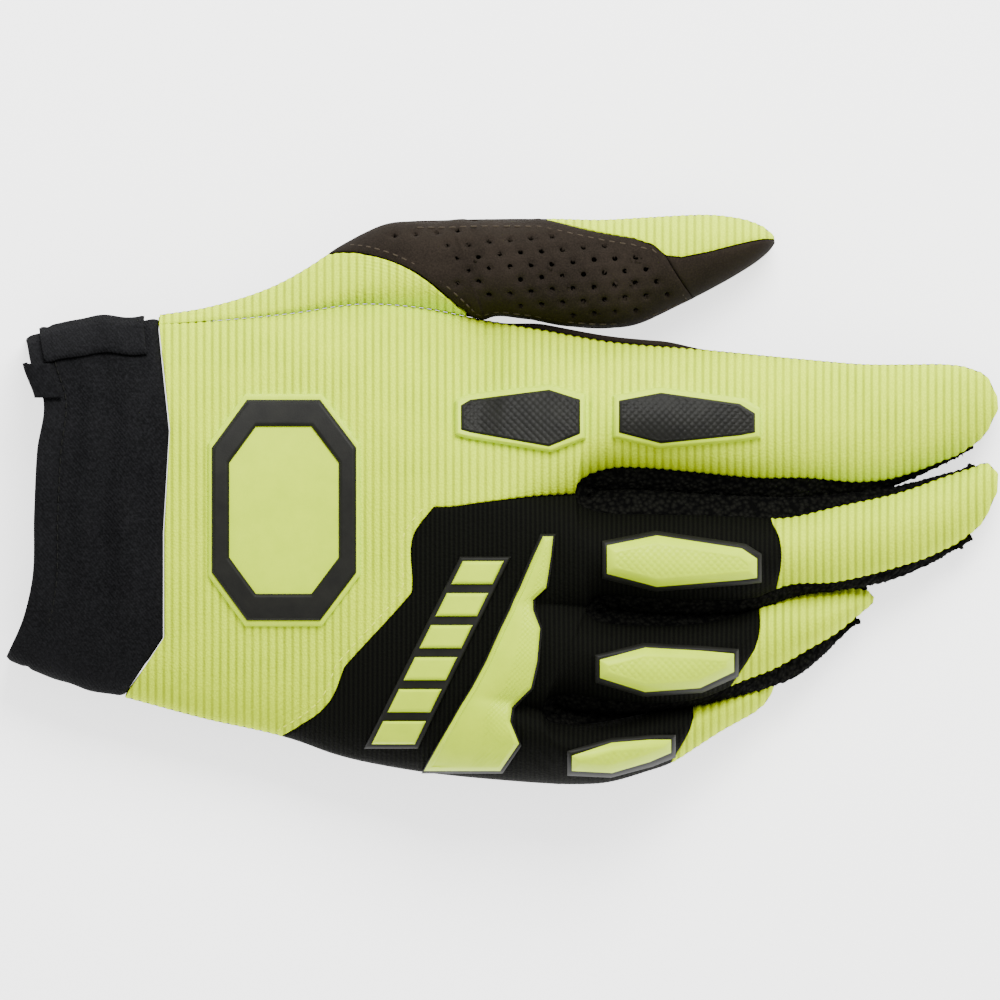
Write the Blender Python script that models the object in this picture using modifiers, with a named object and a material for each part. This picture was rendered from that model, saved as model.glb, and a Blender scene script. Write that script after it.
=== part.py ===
# Motocross glove for the right hand, lying palm down: fingers to +X, thumb to +Y, back up.
# One set of surface functions gives the top and the underside of the hand, the four
# fingers and the thumb. Each piece is a sheet cut from them and thickened inward.
import math

import bmesh
import bpy
import numpy as np
from mathutils import Matrix, Vector
from mathutils.bvhtree import BVHTree

# Driving sizes, in metres
GLOVE_LENGTH = 0.230      # hem to fingertips
HAND_WIDTH = 0.100        # across the knuckles
GLOVE_HEIGHT = 0.044      # floor to the highest knuckle
KNIT_WALL = 0.0012
SUEDE_WALL = 0.0013
RIBBON_WALL = 0.0010
CUFF_WALL = 0.0018
FLAP_WALL = 0.0012
PIECE_GAP = 0.0004        # between two sheets that lie in line
CORNER_GAP = 0.0013       # between two sheets that meet at an angle
SEAT_GAP = 0.00035        # under a piece that sits on another
PAD_BASE = 0.0014
PAD_INSERT = 0.0014
PAD_BORDER = 0.0011
GUARD_INSERT = 0.0016
TILE_HEIGHT = 0.0012
HOLE_WIDTH = 0.0011
SIDE_RADIUS = 0.012       # round of the hand's sides, palm side
SLOT_BULGE = 0.0013       # how far a finger's side wall swells into the slot

# Drawing units of the tables: "along" is a share of GLOVE_LENGTH, and 0.430 of
# "across" is HAND_WIDTH. Heights are shares of GLOVE_HEIGHT.
ACROSS_UNIT = HAND_WIDTH / 0.430

THUMB, INDEX, MIDDLE, RING, LITTLE = range(5)
THUMB_CROTCH = 0.739      # station on the index side line where the thumb parts from the hand
CAP_START = 1.86          # station where a fingertip starts to round off

# Lines between the strips, wrist to crotch: station, along, across
INDEX_SIDE = [
    (0.000, 0.159, 0.174), (0.116, 0.210, 0.177), (0.290, 0.287, 0.184),
    (0.472, 0.367, 0.194), (0.580, 0.415, 0.191), (0.739, 0.485, 0.178),
    (0.864, 0.540, 0.169), (1.000, 0.600, 0.158), (1.250, 0.700, 0.149),
    (1.520, 0.805, 0.139), (1.680, 0.868, 0.134), (1.800, 0.915, 0.134),
    (1.870, 0.945, 0.134), (1.930, 0.970, 0.130), (1.975, 0.989, 0.119),
    (2.000, 0.997, 0.102)]
INDEX_MIDDLE = [
    (0.000, 0.170, 0.070), (0.320, 0.300, 0.018), (0.520, 0.380, 0.001),
    (0.685, 0.447, -0.007), (0.764, 0.479, -0.003), (0.887, 0.529, 0.003),
    (1.000, 0.575, 0.006)]
MIDDLE_RING = [
    (0.000, 0.164, -0.031), (0.322, 0.300, -0.065), (0.559, 0.400, -0.090),
    (0.796, 0.500, -0.101), (1.000, 0.586, -0.106)]
RING_LITTLE = [
    (0.000, 0.164, -0.136), (0.308, 0.280, -0.152), (0.533, 0.365, -0.170),
    (0.785, 0.460, -0.191), (1.000, 0.541, -0.208)]
LITTLE_SIDE = [
    (0.000, 0.125, -0.195), (0.172, 0.200, -0.215), (0.395, 0.297, -0.238),
    (0.471, 0.330, -0.250), (0.671, 0.417, -0.268), (0.862, 0.500, -0.277),
    (1.000, 0.560, -0.281), (1.090, 0.588, -0.281), (1.220, 0.614, -0.278),
    (1.360, 0.645, -0.269), (1.480, 0.671, -0.260), (1.600, 0.697, -0.244),
    (1.720, 0.722, -0.228), (1.820, 0.742, -0.217), (1.900, 0.757, -0.208),
    (1.960, 0.768, -0.197), (2.000, 0.774, -0.185)]
THUMB_SIDE = [
    (0.000, 0.160, 0.183), (0.116, 0.205, 0.190), (0.290, 0.275, 0.212),
    (0.400, 0.313, 0.233), (0.472, 0.340, 0.251), (0.580, 0.381, 0.271),
    (0.739, 0.450, 0.277), (0.850, 0.500, 0.278), (1.000, 0.550, 0.278),
    (1.150, 0.600, 0.277), (1.300, 0.640, 0.279), (1.450, 0.675, 0.281),
    (1.600, 0.705, 0.282), (1.750, 0.730, 0.280), (1.880, 0.752, 0.275),
    (1.950, 0.765, 0.269), (2.000, 0.774, 0.261)]
# Lines past the crotch, where neighbours part: station, along, across
THUMB_INNER = [
    (0.739, 0.485, 0.178), (0.770, 0.494, 0.181), (0.850, 0.524, 0.179),
    (1.000, 0.575, 0.171), (1.150, 0.612, 0.170), (1.300, 0.645, 0.177),
    (1.450, 0.680, 0.193), (1.600, 0.708, 0.207), (1.750, 0.737, 0.223),
    (1.880, 0.760, 0.238), (1.950, 0.770, 0.247), (2.000, 0.775, 0.254)]
INDEX_INNER = [
    (1.000, 0.575, 0.006), (1.015, 0.576, 0.014), (1.040, 0.584, 0.022),
    (1.090, 0.604, 0.030), (1.170, 0.640, 0.032), (1.250, 0.690, 0.028),
    (1.400, 0.757, 0.022), (1.520, 0.803, 0.022), (1.680, 0.864, 0.018),
    (1.800, 0.906, 0.025), (1.870, 0.941, 0.038), (1.930, 0.965, 0.049),
    (1.975, 0.987, 0.068), (2.000, 0.998, 0.090)]
MIDDLE_UPPER = [
    (1.000, 0.575, 0.006), (1.015, 0.577, -0.001), (1.040, 0.584, -0.007),
    (1.090, 0.602, -0.012), (1.200, 0.650, -0.014), (1.330, 0.705, -0.015),
    (1.450, 0.755, -0.017), (1.520, 0.782, -0.018), (1.650, 0.840, -0.006),
    (1.780, 0.902, 0.008), (1.880, 0.945, 0.023), (1.940, 0.972, 0.032),
    (1.975, 0.988, 0.036), (2.000, 0.998, 0.026)]
MIDDLE_LOWER = [
    (1.000, 0.586, -0.106), (1.015, 0.588, -0.101), (1.040, 0.595, -0.096),
    (1.090, 0.612, -0.094), (1.200, 0.655, -0.097), (1.330, 0.705, -0.099),
    (1.450, 0.757, -0.096), (1.520, 0.785, -0.085), (1.650, 0.836, -0.081),
    (1.780, 0.895, -0.067), (1.880, 0.938, -0.052), (1.940, 0.967, -0.036),
    (1.975, 0.985, -0.018), (2.000, 0.997, 0.008)]
RING_UPPER = [
    (1.000, 0.586, -0.106), (1.015, 0.587, -0.111), (1.040, 0.593, -0.117),
    (1.090, 0.606, -0.121), (1.220, 0.650, -0.124), (1.360, 0.700, -0.122),
    (1.480, 0.740, -0.113), (1.580, 0.770, -0.100), (1.700, 0.805, -0.093),
    (1.800, 0.834, -0.090), (1.900, 0.857, -0.088), (1.960, 0.868, -0.090),
    (2.000, 0.874, -0.096)]
RING_LOWER = [
    (1.000, 0.541, -0.208), (1.015, 0.543, -0.202), (1.040, 0.548, -0.196),
    (1.090, 0.562, -0.192), (1.220, 0.610, -0.198), (1.360, 0.660, -0.201),
    (1.480, 0.705, -0.195), (1.580, 0.740, -0.180), (1.700, 0.776, -0.166),
    (1.800, 0.808, -0.148), (1.900, 0.840, -0.129), (1.960, 0.861, -0.112),
    (2.000, 0.873, -0.102)]
LITTLE_UPPER = [
    (1.000, 0.541, -0.208), (1.015, 0.543, -0.213), (1.040, 0.548, -0.218),
    (1.090, 0.560, -0.221), (1.220, 0.597, -0.220), (1.360, 0.640, -0.212),
    (1.480, 0.672, -0.205), (1.600, 0.701, -0.202), (1.720, 0.726, -0.194),
    (1.820, 0.745, -0.187), (1.900, 0.758, -0.180), (1.960, 0.768, -0.177),
    (2.000, 0.775, -0.180)]

# Where each strip's two edges run: line in the hand, line past the crotch, crotch station
EDGES = {
    (THUMB, 0): (THUMB_SIDE, None, 9.0),
    (THUMB, 1): (INDEX_SIDE, THUMB_INNER, THUMB_CROTCH),
    (INDEX, 0): (INDEX_SIDE, None, 9.0),
    (INDEX, 1): (INDEX_MIDDLE, INDEX_INNER, 1.0),
    (MIDDLE, 0): (INDEX_MIDDLE, MIDDLE_UPPER, 1.0),
    (MIDDLE, 1): (MIDDLE_RING, MIDDLE_LOWER, 1.0),
    (RING, 0): (MIDDLE_RING, RING_UPPER, 1.0),
    (RING, 1): (RING_LITTLE, RING_LOWER, 1.0),
    (LITTLE, 0): (RING_LITTLE, LITTLE_UPPER, 1.0),
    (LITTLE, 1): (LITTLE_SIDE, None, 9.0)}

# Finger profile seen from the side: station, crest height, sole height
PROFILE = {
    THUMB: [(0.0, 0.44, 0.0), (0.29, 0.53, 0.0), (0.472, 0.60, -0.04), (0.739, 0.65, -0.03),
            (1.0, 0.65, 0.03), (1.3, 0.61, 0.03), (1.6, 0.53, -0.02), (1.88, 0.43, -0.04),
            (2.0, 0.38, -0.04)],
    INDEX: [(0.0, 0.80, 0.0), (0.8, 0.93, 0.20), (1.0, 0.94, 0.25), (1.25, 0.87, 0.29),
            (1.5, 0.73, 0.22), (1.7, 0.58, 0.11), (1.85, 0.47, 0.01), (1.93, 0.40, -0.03),
            (2.0, 0.36, -0.03)],
    MIDDLE: [(0.0, 0.80, 0.0), (0.8, 0.97, 0.20), (1.0, 1.00, 0.26), (1.25, 0.93, 0.33),
             (1.5, 0.79, 0.27), (1.7, 0.62, 0.14), (1.85, 0.48, 0.02), (1.93, 0.40, -0.03),
             (2.0, 0.36, -0.03)],
    RING: [(0.0, 0.80, 0.0), (0.8, 0.95, 0.20), (1.0, 0.95, 0.26), (1.25, 0.87, 0.30),
           (1.5, 0.72, 0.21), (1.7, 0.56, 0.10), (1.85, 0.45, 0.01), (1.93, 0.38, -0.03),
           (2.0, 0.34, -0.03)],
    LITTLE: [(0.0, 0.70, 0.0), (0.8, 0.86, 0.18), (1.0, 0.84, 0.20), (1.25, 0.75, 0.21),
             (1.5, 0.63, 0.15), (1.7, 0.50, 0.07), (1.85, 0.40, 0.0), (1.93, 0.34, -0.03),
             (2.0, 0.31, -0.03)]}
# Height of the seam along each outer side: station, height
SIDE_SEAM = {
    (THUMB, 0): [(0.0, 0.39), (0.29, 0.34), (0.58, 0.32), (1.0, 0.32), (1.5, 0.27), (2.0, 0.17)],
    (THUMB, 1): [(0.739, 0.33), (1.0, 0.33), (1.5, 0.27), (2.0, 0.17)],
    (INDEX, 0): [(0.739, 0.33), (0.864, 0.38), (1.0, 0.45), (1.25, 0.50), (1.5, 0.44),
                 (1.7, 0.34), (1.85, 0.24), (2.0, 0.17)],
    (LITTLE, 1): [(0.0, 0.38), (0.4, 0.40), (0.8, 0.42), (1.0, 0.44), (1.25, 0.45), (1.5, 0.37),
                  (1.7, 0.27), (1.85, 0.20), (2.0, 0.15)]}
# Index side line while the thumb is joined: station, height on top, height underneath
THUMB_ROOT = [(0.0, 0.48, 0.13), (0.2, 0.53, 0.09), (0.4, 0.57, 0.03), (0.55, 0.55, 0.06),
              (0.65, 0.48, 0.16), (0.739, 0.36, 0.30)]
# Hand: station, highest point, palm arch
HAND = [(0.0, 0.80, -0.02), (0.2, 0.82, -0.02), (0.35, 0.85, 0.0), (0.5, 0.89, 0.05),
        (0.7, 0.94, 0.13), (0.85, 0.97, 0.19), (1.0, 0.99, 0.24), (2.0, 0.99, 0.24)]
RIBBON_TOP = 0.70         # share of a finger's thickness where its top sheet ends
RIBBON_FOOT = 0.27        # share where its palm prong starts


def smooth(rows, at):
    # Cubic through the rows. A row's slope is the weighted mean of the slopes on both sides.
    table = np.array(rows, dtype=float)
    spots = table[:, 0]
    values = table[:, 1:]
    step = np.diff(spots)[:, None]
    rise = np.diff(values, axis=0) / step
    slope = np.empty_like(values)
    slope[0] = rise[0]
    slope[-1] = rise[-1]
    slope[1:-1] = (rise[:-1] * step[1:] + rise[1:] * step[:-1]) / (step[:-1] + step[1:])
    at = np.clip(np.asarray(at, dtype=float), spots[0], spots[-1])
    cell = np.clip(np.searchsorted(spots, at, side="right") - 1, 0, len(spots) - 2)
    width = step[cell, 0][..., None]
    t = ((at - spots[cell])[..., None]) / width
    start = (1 + 2 * t) * (1 - t) ** 2 * values[cell] + t * (1 - t) ** 2 * width * slope[cell]
    end = t * t * (3 - 2 * t) * values[cell + 1] - t * t * (1 - t) * width * slope[cell + 1]
    return start + end


def ease(low, high, x):
    s = np.clip((np.asarray(x, dtype=float) - low) / (high - low), 0.0, 1.0)
    return s * s * (3.0 - 2.0 * s)


def dome(t, cut_left, cut_right, power):
    # One in the middle and zero at both edges. A cut of one meets its edge upright.
    cut = np.where(t < 0, cut_left, cut_right)
    rest = (1 - cut ** power) ** (1 / power)
    body = (1 - np.minimum(np.abs(t) * cut, 1.0) ** power) ** (1 / power)
    return (body - rest) / (1 - rest)


def edge_plan(strip, side, u):
    hand, finger, crotch = EDGES[(strip, side)]
    u = np.asarray(u, dtype=float)
    line = smooth(hand, u)
    if finger is not None:
        line = np.where((u > crotch)[..., None], smooth(finger, u), line)
    return np.stack([line[..., 0] * GLOVE_LENGTH, line[..., 1] * ACROSS_UNIT], axis=-1)


def finger_profile(strip, side, u):
    # Crest and sole at a strip's edge: shared with the neighbour in the hand, its own past it
    own = smooth(PROFILE[strip], u)
    neighbour = strip + (1 if side else -1)
    shared = (own + smooth(PROFILE[neighbour], u)) / 2
    return shared + (own - shared) * ease(1.0, 1.2, u)[..., None]


def edge_heights(strip, side, u):
    # Heights of the top sheet's and the palm sheet's edges, as shares of GLOVE_HEIGHT
    u = np.asarray(u, dtype=float)
    half = CORNER_GAP / 2 / GLOVE_HEIGHT
    if (strip, side) in SIDE_SEAM:
        seam = smooth(SIDE_SEAM[(strip, side)], u)[..., 0]
        top, under = seam + half, seam - half
        if (strip, side) in ((THUMB, 1), (INDEX, 0)):
            root = smooth(THUMB_ROOT, u)
            joined = u < THUMB_CROTCH
            top = np.where(joined, root[..., 0], top)
            under = np.where(joined, root[..., 1], under)
        return top, under
    profile = finger_profile(strip, side, u)
    closing = ease(1.84, 1.95, u)
    upper = RIBBON_TOP + (0.47 - RIBBON_TOP) * closing
    lower = RIBBON_FOOT + (0.47 - RIBBON_FOOT) * closing
    thick = profile[..., 0] - profile[..., 1]
    sole = np.maximum(profile[..., 1], 0.0)
    return sole + thick * upper + half * closing, sole + thick * lower - half * closing


def cuts(strip, u):
    # How upright each edge of a strip's section stands
    left = np.ones_like(u)
    right = np.ones_like(u)
    if strip in (MIDDLE, RING, LITTLE):
        left = 0.86 + 0.14 * ease(1.84, 1.95, u)
    if strip in (INDEX, MIDDLE, RING):
        right = 0.86 + 0.14 * ease(1.84, 1.95, u)
    if strip == THUMB:
        right = 0.70 + 0.30 * ease(0.55, 0.80, u)
    if strip == INDEX:
        left = 0.80 + 0.20 * ease(0.62, 0.80, u)
    return left, right


def cap(u):
    # A fingertip closes as a quarter circle
    return np.sqrt(1 - np.clip((u - CAP_START) / (2 - CAP_START), 0, 1) ** 2)


def across_share(plan, u):
    first = edge_plan(INDEX, 0, u)[..., 1]
    last = edge_plan(LITTLE, 1, u)[..., 1]
    return np.clip((first - plan[..., 1]) / (first - last), 0.0, 1.0), first - last


def surface(strip, u, v, top):
    # A point of the top or the underside; u is the station, v runs from edge to edge
    u = np.asarray(u, dtype=float)
    v = np.asarray(v, dtype=float)
    u, v = np.broadcast_arrays(u, v)
    left = edge_plan(strip, 0, u)
    right = edge_plan(strip, 1, u)
    plan = left + (right - left) * v[..., None]
    t = 2 * v - 1
    left_top, left_under = edge_heights(strip, 0, u)
    right_top, right_under = edge_heights(strip, 1, u)
    cut_left, cut_right = cuts(strip, u)
    profile = smooth(PROFILE[strip], u)
    crest, sole = profile[..., 0], profile[..., 1]
    bow = cap(u) * dome(t, cut_left, cut_right, 2.0)
    if top:
        chord = left_top + (right_top - left_top) * v
        height = chord + (crest - (left_top + right_top) / 2) * bow
    else:
        chord = left_under + (right_under - left_under) * v
        height = chord + (sole - (left_under + right_under) / 2) * bow
    if strip != THUMB:
        share, width = across_share(plan, u)
        hand = smooth(HAND, u)
        first_top, first_under = edge_heights(INDEX, 0, u)
        last_top, last_under = edge_heights(LITTLE, 1, u)
        if top:
            base = first_top + (last_top - first_top) * share
            cut_first = 0.80 + 0.20 * ease(0.62, 0.80, u)
            body = base + (hand[..., 0] - (first_top + last_top) / 2) * dome(
                2 * share - 1, cut_first, np.ones_like(u), 2.3)
        else:
            arch = hand[..., 1]
            near = np.clip(share * width / SIDE_RADIUS, 0, 1)
            far = np.clip((1 - share) * width / SIDE_RADIUS, 0, 1)
            body = arch + (first_under - arch) * (1 - np.sqrt(1 - (1 - near) ** 2))
            body = body + (last_under - arch) * (1 - np.sqrt(1 - (1 - far) ** 2))
        mix = ease(0.78, 1.10, u)
        height = body + (height - body) * mix
    height = np.maximum(height * GLOVE_HEIGHT, 0.0)
    return np.concatenate([plan, height[..., None]], axis=-1)


def unit(vectors):
    return vectors / np.maximum(np.linalg.norm(vectors, axis=-1, keepdims=True), 1e-12)


def across_steps(count):
    # Closer together near both edges, where the sheet turns down
    even = np.linspace(0, 1, count + 1)
    return 0.15 * even + 0.85 * (1 - np.cos(np.pi * even)) / 2


def along_steps(start, end, count):
    # Even until the fingertip, then closer together
    steps = np.linspace(start, end, count + 1)
    if end < 1.99:
        return steps
    plain = steps[steps < CAP_START - 0.02]
    turn = np.linspace(0, math.pi / 2, 6)
    return np.concatenate([plain, CAP_START + (end - CAP_START) * np.sin(turn)])


def make_material(name, colour, roughness, metallic=0.0):
    material = bpy.data.materials.new(name)
    material.use_nodes = True
    shader = material.node_tree.nodes["Principled BSDF"]
    shader.inputs["Base Color"].default_value = (*colour, 1.0)
    shader.inputs["Roughness"].default_value = roughness
    shader.inputs["Metallic"].default_value = metallic
    material.diffuse_color = (*colour, 1.0)
    return material


KNIT = (0.66, 0.87, 0.02)
MOULDED = (0.62, 0.84, 0.01)
SUEDE = (0.030, 0.022, 0.020)
DARK_KNIT = (0.012, 0.013, 0.015)
CUFF_CLOTH = (0.018, 0.018, 0.020)
DARK_MOULDED = (0.030, 0.029, 0.024)


def add_object(name, points, faces, colour, roughness):
    mesh = bpy.data.meshes.new(name)
    mesh.from_pydata([tuple(p) for p in points], [], faces)
    mesh.materials.append(make_material(name + "_finish", colour, roughness))
    piece = bpy.data.objects.new(name, mesh)
    bpy.data.collections["motocross_glove"].objects.link(piece)
    return piece


def thicken(piece, wall, outward=False):
    solid = piece.modifiers.new("Wall", "SOLIDIFY")
    solid.thickness = wall
    solid.offset = 1.0 if outward else -1.0
    solid.use_even_offset = False
    return piece


def grid_faces(rows, columns, first=0, flip=False, ring=False):
    faces = []
    for row in range(rows - 1):
        for column in range(columns if ring else columns - 1):
            a = first + row * columns + column
            b = first + row * columns + (column + 1) % columns
            face = (a, b, b + columns, a + columns)
            faces.append(face[::-1] if flip else face)
    return faces


def weld(grids, flip):
    # Joins grids that share a line into one sheet
    points = []
    faces = []
    known = {}
    for grid in grids:
        rows, columns = grid.shape[:2]
        flat = grid.reshape(-1, 3)
        number = []
        for point in flat:
            key = tuple(np.round(point * 1e6).astype(int))
            if key not in known:
                known[key] = len(points)
                points.append(point)
            number.append(known[key])
        for face in grid_faces(rows, columns, 0, flip):
            corners = [number[corner] for corner in face]
            if len(set(corners)) == len(corners):
                faces.append(corners)
    return points, faces


def sheet(name, grids, colour, roughness, wall, under=False):
    points, faces = weld(grids, flip=under)
    return thicken(add_object(name, points, faces, colour, roughness), wall)


# Slanted border of the yellow back and the dark knuckle panel: strip position, along
BORDER = [(1.0, 0.447), (1.25, 0.425), (2.0, 0.407), (3.0, 0.366), (3.45, 0.345), (4.0, 0.300)]
# Border of each fingertip, from one edge to the other: share across, along
TIP_BORDERS = {
    MIDDLE: [(0.0, 0.771), (0.4, 0.781), (0.7, 0.781), (1.0, 0.776)],
    RING: [(0.0, 0.758), (0.3, 0.760), (0.6, 0.755), (0.85, 0.741), (1.0, 0.731)],
    LITTLE: [(0.0, 0.693), (0.3, 0.693), (0.65, 0.686), (1.0, 0.671)]}


def station_at(strip, side, along):
    # The station where an edge line reaches a given place along the glove
    stations = np.linspace(0, 2, 801)
    plan = edge_plan(strip, side, stations)[:, 0] / GLOVE_LENGTH
    return float(np.interp(along, plan, stations))


def border_station(position):
    strip = min(int(position), LITTLE)
    share = position - strip
    along = float(smooth(BORDER, position)[0])
    first = station_at(strip, 0, along)
    last = station_at(strip, 1, along)
    return first + (last - first) * share


def tip_station(strip, share):
    along = float(smooth(TIP_BORDERS[strip], share)[0])
    first = station_at(strip, 0, along)
    last = station_at(strip, 1, along)
    return first + (last - first) * share


def shifted(length, strip=INDEX, slant=1.0):
    # A length square to a border as a change of station. A slanted border needs more.
    start, end = edge_plan(strip, 1, np.array([1.0, 2.0]))[:, 0]
    return length * slant / (end - start)


def mapped(strip, starts, ends, v, count, top=True):
    # A sheet whose start and end station change across it
    rows = np.linspace(0, 1, count + 1)[:, None]
    u = np.asarray(starts)[None, :] * (1 - rows) + np.asarray(ends)[None, :] * rows
    return surface(strip, u, np.broadcast_to(v, u.shape), top)


def trimmed(strip, u, v, left_gap=0.0, right_gap=0.0):
    # Shares across, moved in from either edge by a real length
    width = np.linalg.norm(edge_plan(strip, 1, u) - edge_plan(strip, 0, u), axis=-1)
    first = left_gap / width
    return first + (1 - first - right_gap / width) * v


def near_thumb(u):
    # Full gap along the thumb seam, fading out past the crotch
    return CORNER_GAP / 2 * (1 - ease(THUMB_CROTCH, 0.85, u))


def finger_steps(end=2.0, count=8):
    # Close together round the crotch and at the tip, the same for every sheet of a finger
    root = np.array([1.0, 1.02, 1.05, 1.09, 1.15])
    shaft = np.linspace(1.15, CAP_START, count)[1:]
    turn = CAP_START + (2.0 - CAP_START) * np.sin(np.linspace(0, math.pi / 2, 5))[1:]
    steps = np.concatenate([root, shaft, turn])
    return steps[steps <= end + 1e-9]


def build_back_panel():
    gap = shifted(PIECE_GAP / 2, INDEX, 1.3)
    corner = border_station(1.0) - gap
    count = 7
    start = np.linspace(0, corner, count + 1)
    rest = np.linspace(corner + 2 * gap, 1.0, 9)
    u = np.concatenate([start, rest, finger_steps()[1:]])[:, None]
    beside = (u > corner) & (u <= 1.0)
    far = np.where(beside, PIECE_GAP / 2, 0.0)
    share = trimmed(INDEX, u, across_steps(6)[None, :], near_thumb(u), far)
    grids = [surface(INDEX, u, share, True)]
    for strip in (MIDDLE, RING, LITTLE):
        v = across_steps(5)
        ends = [border_station(strip - 1 + share) - gap for share in v]
        grids.append(mapped(strip, np.zeros(len(v)), ends, v, count))
    return sheet("back_panel", grids, KNIT, 0.85, KNIT_WALL)


def build_knuckle_panel():
    gap = shifted(PIECE_GAP / 2, INDEX, 1.3)
    grids = []
    for strip in (MIDDLE, RING, LITTLE):
        v = across_steps(5)
        starts = np.array([border_station(strip - 1 + share) + gap for share in v])
        rows = np.linspace(0, 1, 9)[:, None]
        u = starts[None, :] * (1 - rows) + rows
        near = PIECE_GAP / 2 if strip == MIDDLE else 0.0
        share = trimmed(strip, u, v[None, :], near)
        if strip == MIDDLE:
            share = np.where(rows < 1, share, v)
        grids.append(surface(strip, u, share, True))
        near_tip = shifted(PIECE_GAP / 2, strip, 1.3)
        ends = np.array([tip_station(strip, s) - near_tip for s in v])
        steps = finger_steps(1.48)
        rows = ((steps - 1) / (steps[-1] - 1))[:, None]
        u = 1 + (ends[None, :] - 1) * rows
        grids.append(surface(strip, u, np.broadcast_to(v, u.shape), True))
    return sheet("knuckle_panel", grids, DARK_KNIT, 0.8, KNIT_WALL)


def build_tip(strip, name):
    v = across_steps(5)
    gap = shifted(PIECE_GAP / 2, strip, 1.3)
    starts = np.array([tip_station(strip, s) + gap for s in v])
    bend = along_steps(float(starts.max()), 2.0, 5)
    rows = ((bend - bend[0]) / (2.0 - bend[0]))[:, None]
    u = starts[None, :] * (1 - rows) + 2.0 * rows
    grid = surface(strip, u, np.broadcast_to(v, u.shape), True)
    return sheet(name, [grid], KNIT, 0.85, KNIT_WALL)


def build_palm():
    u = np.concatenate([np.linspace(0, 1, 9), finger_steps()[1:]])[:, None]
    v = across_steps(5)[None, :]
    grids = []
    for strip in (INDEX, MIDDLE, RING, LITTLE):
        near = near_thumb(u) if strip == INDEX else 0.0
        share = trimmed(strip, u, v, near)
        grids.append(surface(strip, u, share, False))
    return sheet("palm", grids, SUEDE, 0.9, SUEDE_WALL, under=True)


# Thumb: where the suede patch starts and ends, and the seam beside it
PATCH_START = [(0.0, 0.44), (0.3, 0.53), (0.6, 0.62), (1.0, 0.70)]    # share across, station
PATCH_END = [(0.0, 1.40), (1.0, 1.52)]                                # share below the seam, station
THUMB_SEAM = [(0.0, 0.0), (0.97, 0.0), (1.12, 0.096), (1.27, 0.19), (1.35, 0.28), (1.40, 0.42),
              (1.47, 0.48), (1.62, 0.50), (2.0, 0.50)]                # station, share across


def thumb_seam(u):
    table = np.array(THUMB_SEAM)
    return np.interp(u, table[:, 0], table[:, 1])


def build_thumb():
    gap = shifted(PIECE_GAP / 2, THUMB, 1.3)
    slanted = shifted(PIECE_GAP / 2, THUMB, 2.6)
    half = PIECE_GAP
    v = across_steps(6)[None, :]
    ends = smooth(PATCH_START, v[0])[:, 0] - slanted
    u = ends[None, :] * np.linspace(0, 1, 8)[:, None]
    share = trimmed(THUMB, u, v, 0.0, near_thumb(u))
    pieces = [sheet("thumb_gusset", [surface(THUMB, u, share, True)], KNIT, 0.85, KNIT_WALL)]
    starts = smooth(PATCH_START, v[0])[:, 0] + slanted
    stops = smooth(PATCH_END, v[0])[:, 0] - gap
    rows = np.linspace(0, 1, 11)[:, None]
    u = starts[None, :] * (1 - rows) + stops[None, :] * rows
    whole = trimmed(THUMB, u, v, 0.0, near_thumb(u))
    width = np.linalg.norm(edge_plan(THUMB, 1, u) - edge_plan(THUMB, 0, u), axis=-1)
    seam = thumb_seam(u)
    near = np.where(seam > 0, seam + half / width, 0.0)
    share = near + (1 - near) * whole
    pieces.append(sheet("thumb_patch", [surface(THUMB, u, share, True)], SUEDE, 0.9, SUEDE_WALL))
    u = along_steps(1.04, 2.0, 11)[:, None]
    width = np.linalg.norm(edge_plan(THUMB, 1, u) - edge_plan(THUMB, 0, u), axis=-1)
    share = (thumb_seam(u) - half / width) * across_steps(3)[None, :]
    pieces.append(sheet("thumb_back", [surface(THUMB, u, share, True)], KNIT, 0.85, KNIT_WALL))
    starts = smooth(PATCH_END, v[0])[:, 0] + gap
    bend = along_steps(float(starts.max()), 2.0, 5)
    rows = ((bend - bend[0]) / (2.0 - bend[0]))[:, None]
    u = starts[None, :] * (1 - rows) + 2.0 * rows
    width = np.linalg.norm(edge_plan(THUMB, 1, u) - edge_plan(THUMB, 0, u), axis=-1)
    near = thumb_seam(u) + half / width
    share = near + (1 - near) * v
    pieces.append(sheet("thumb_tip_palm", [surface(THUMB, u, share, True)], SUEDE, 0.9, SUEDE_WALL))
    u = np.concatenate([np.linspace(0, 1, 13), along_steps(1.0, 2.0, 9)[1:]])[:, None]
    share = trimmed(THUMB, u, v, 0.0, near_thumb(u))
    grid = surface(THUMB, u, share, False)
    pieces.append(sheet("thumb_underside", [grid], SUEDE, 0.9, SUEDE_WALL, under=True))
    return pieces


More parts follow.
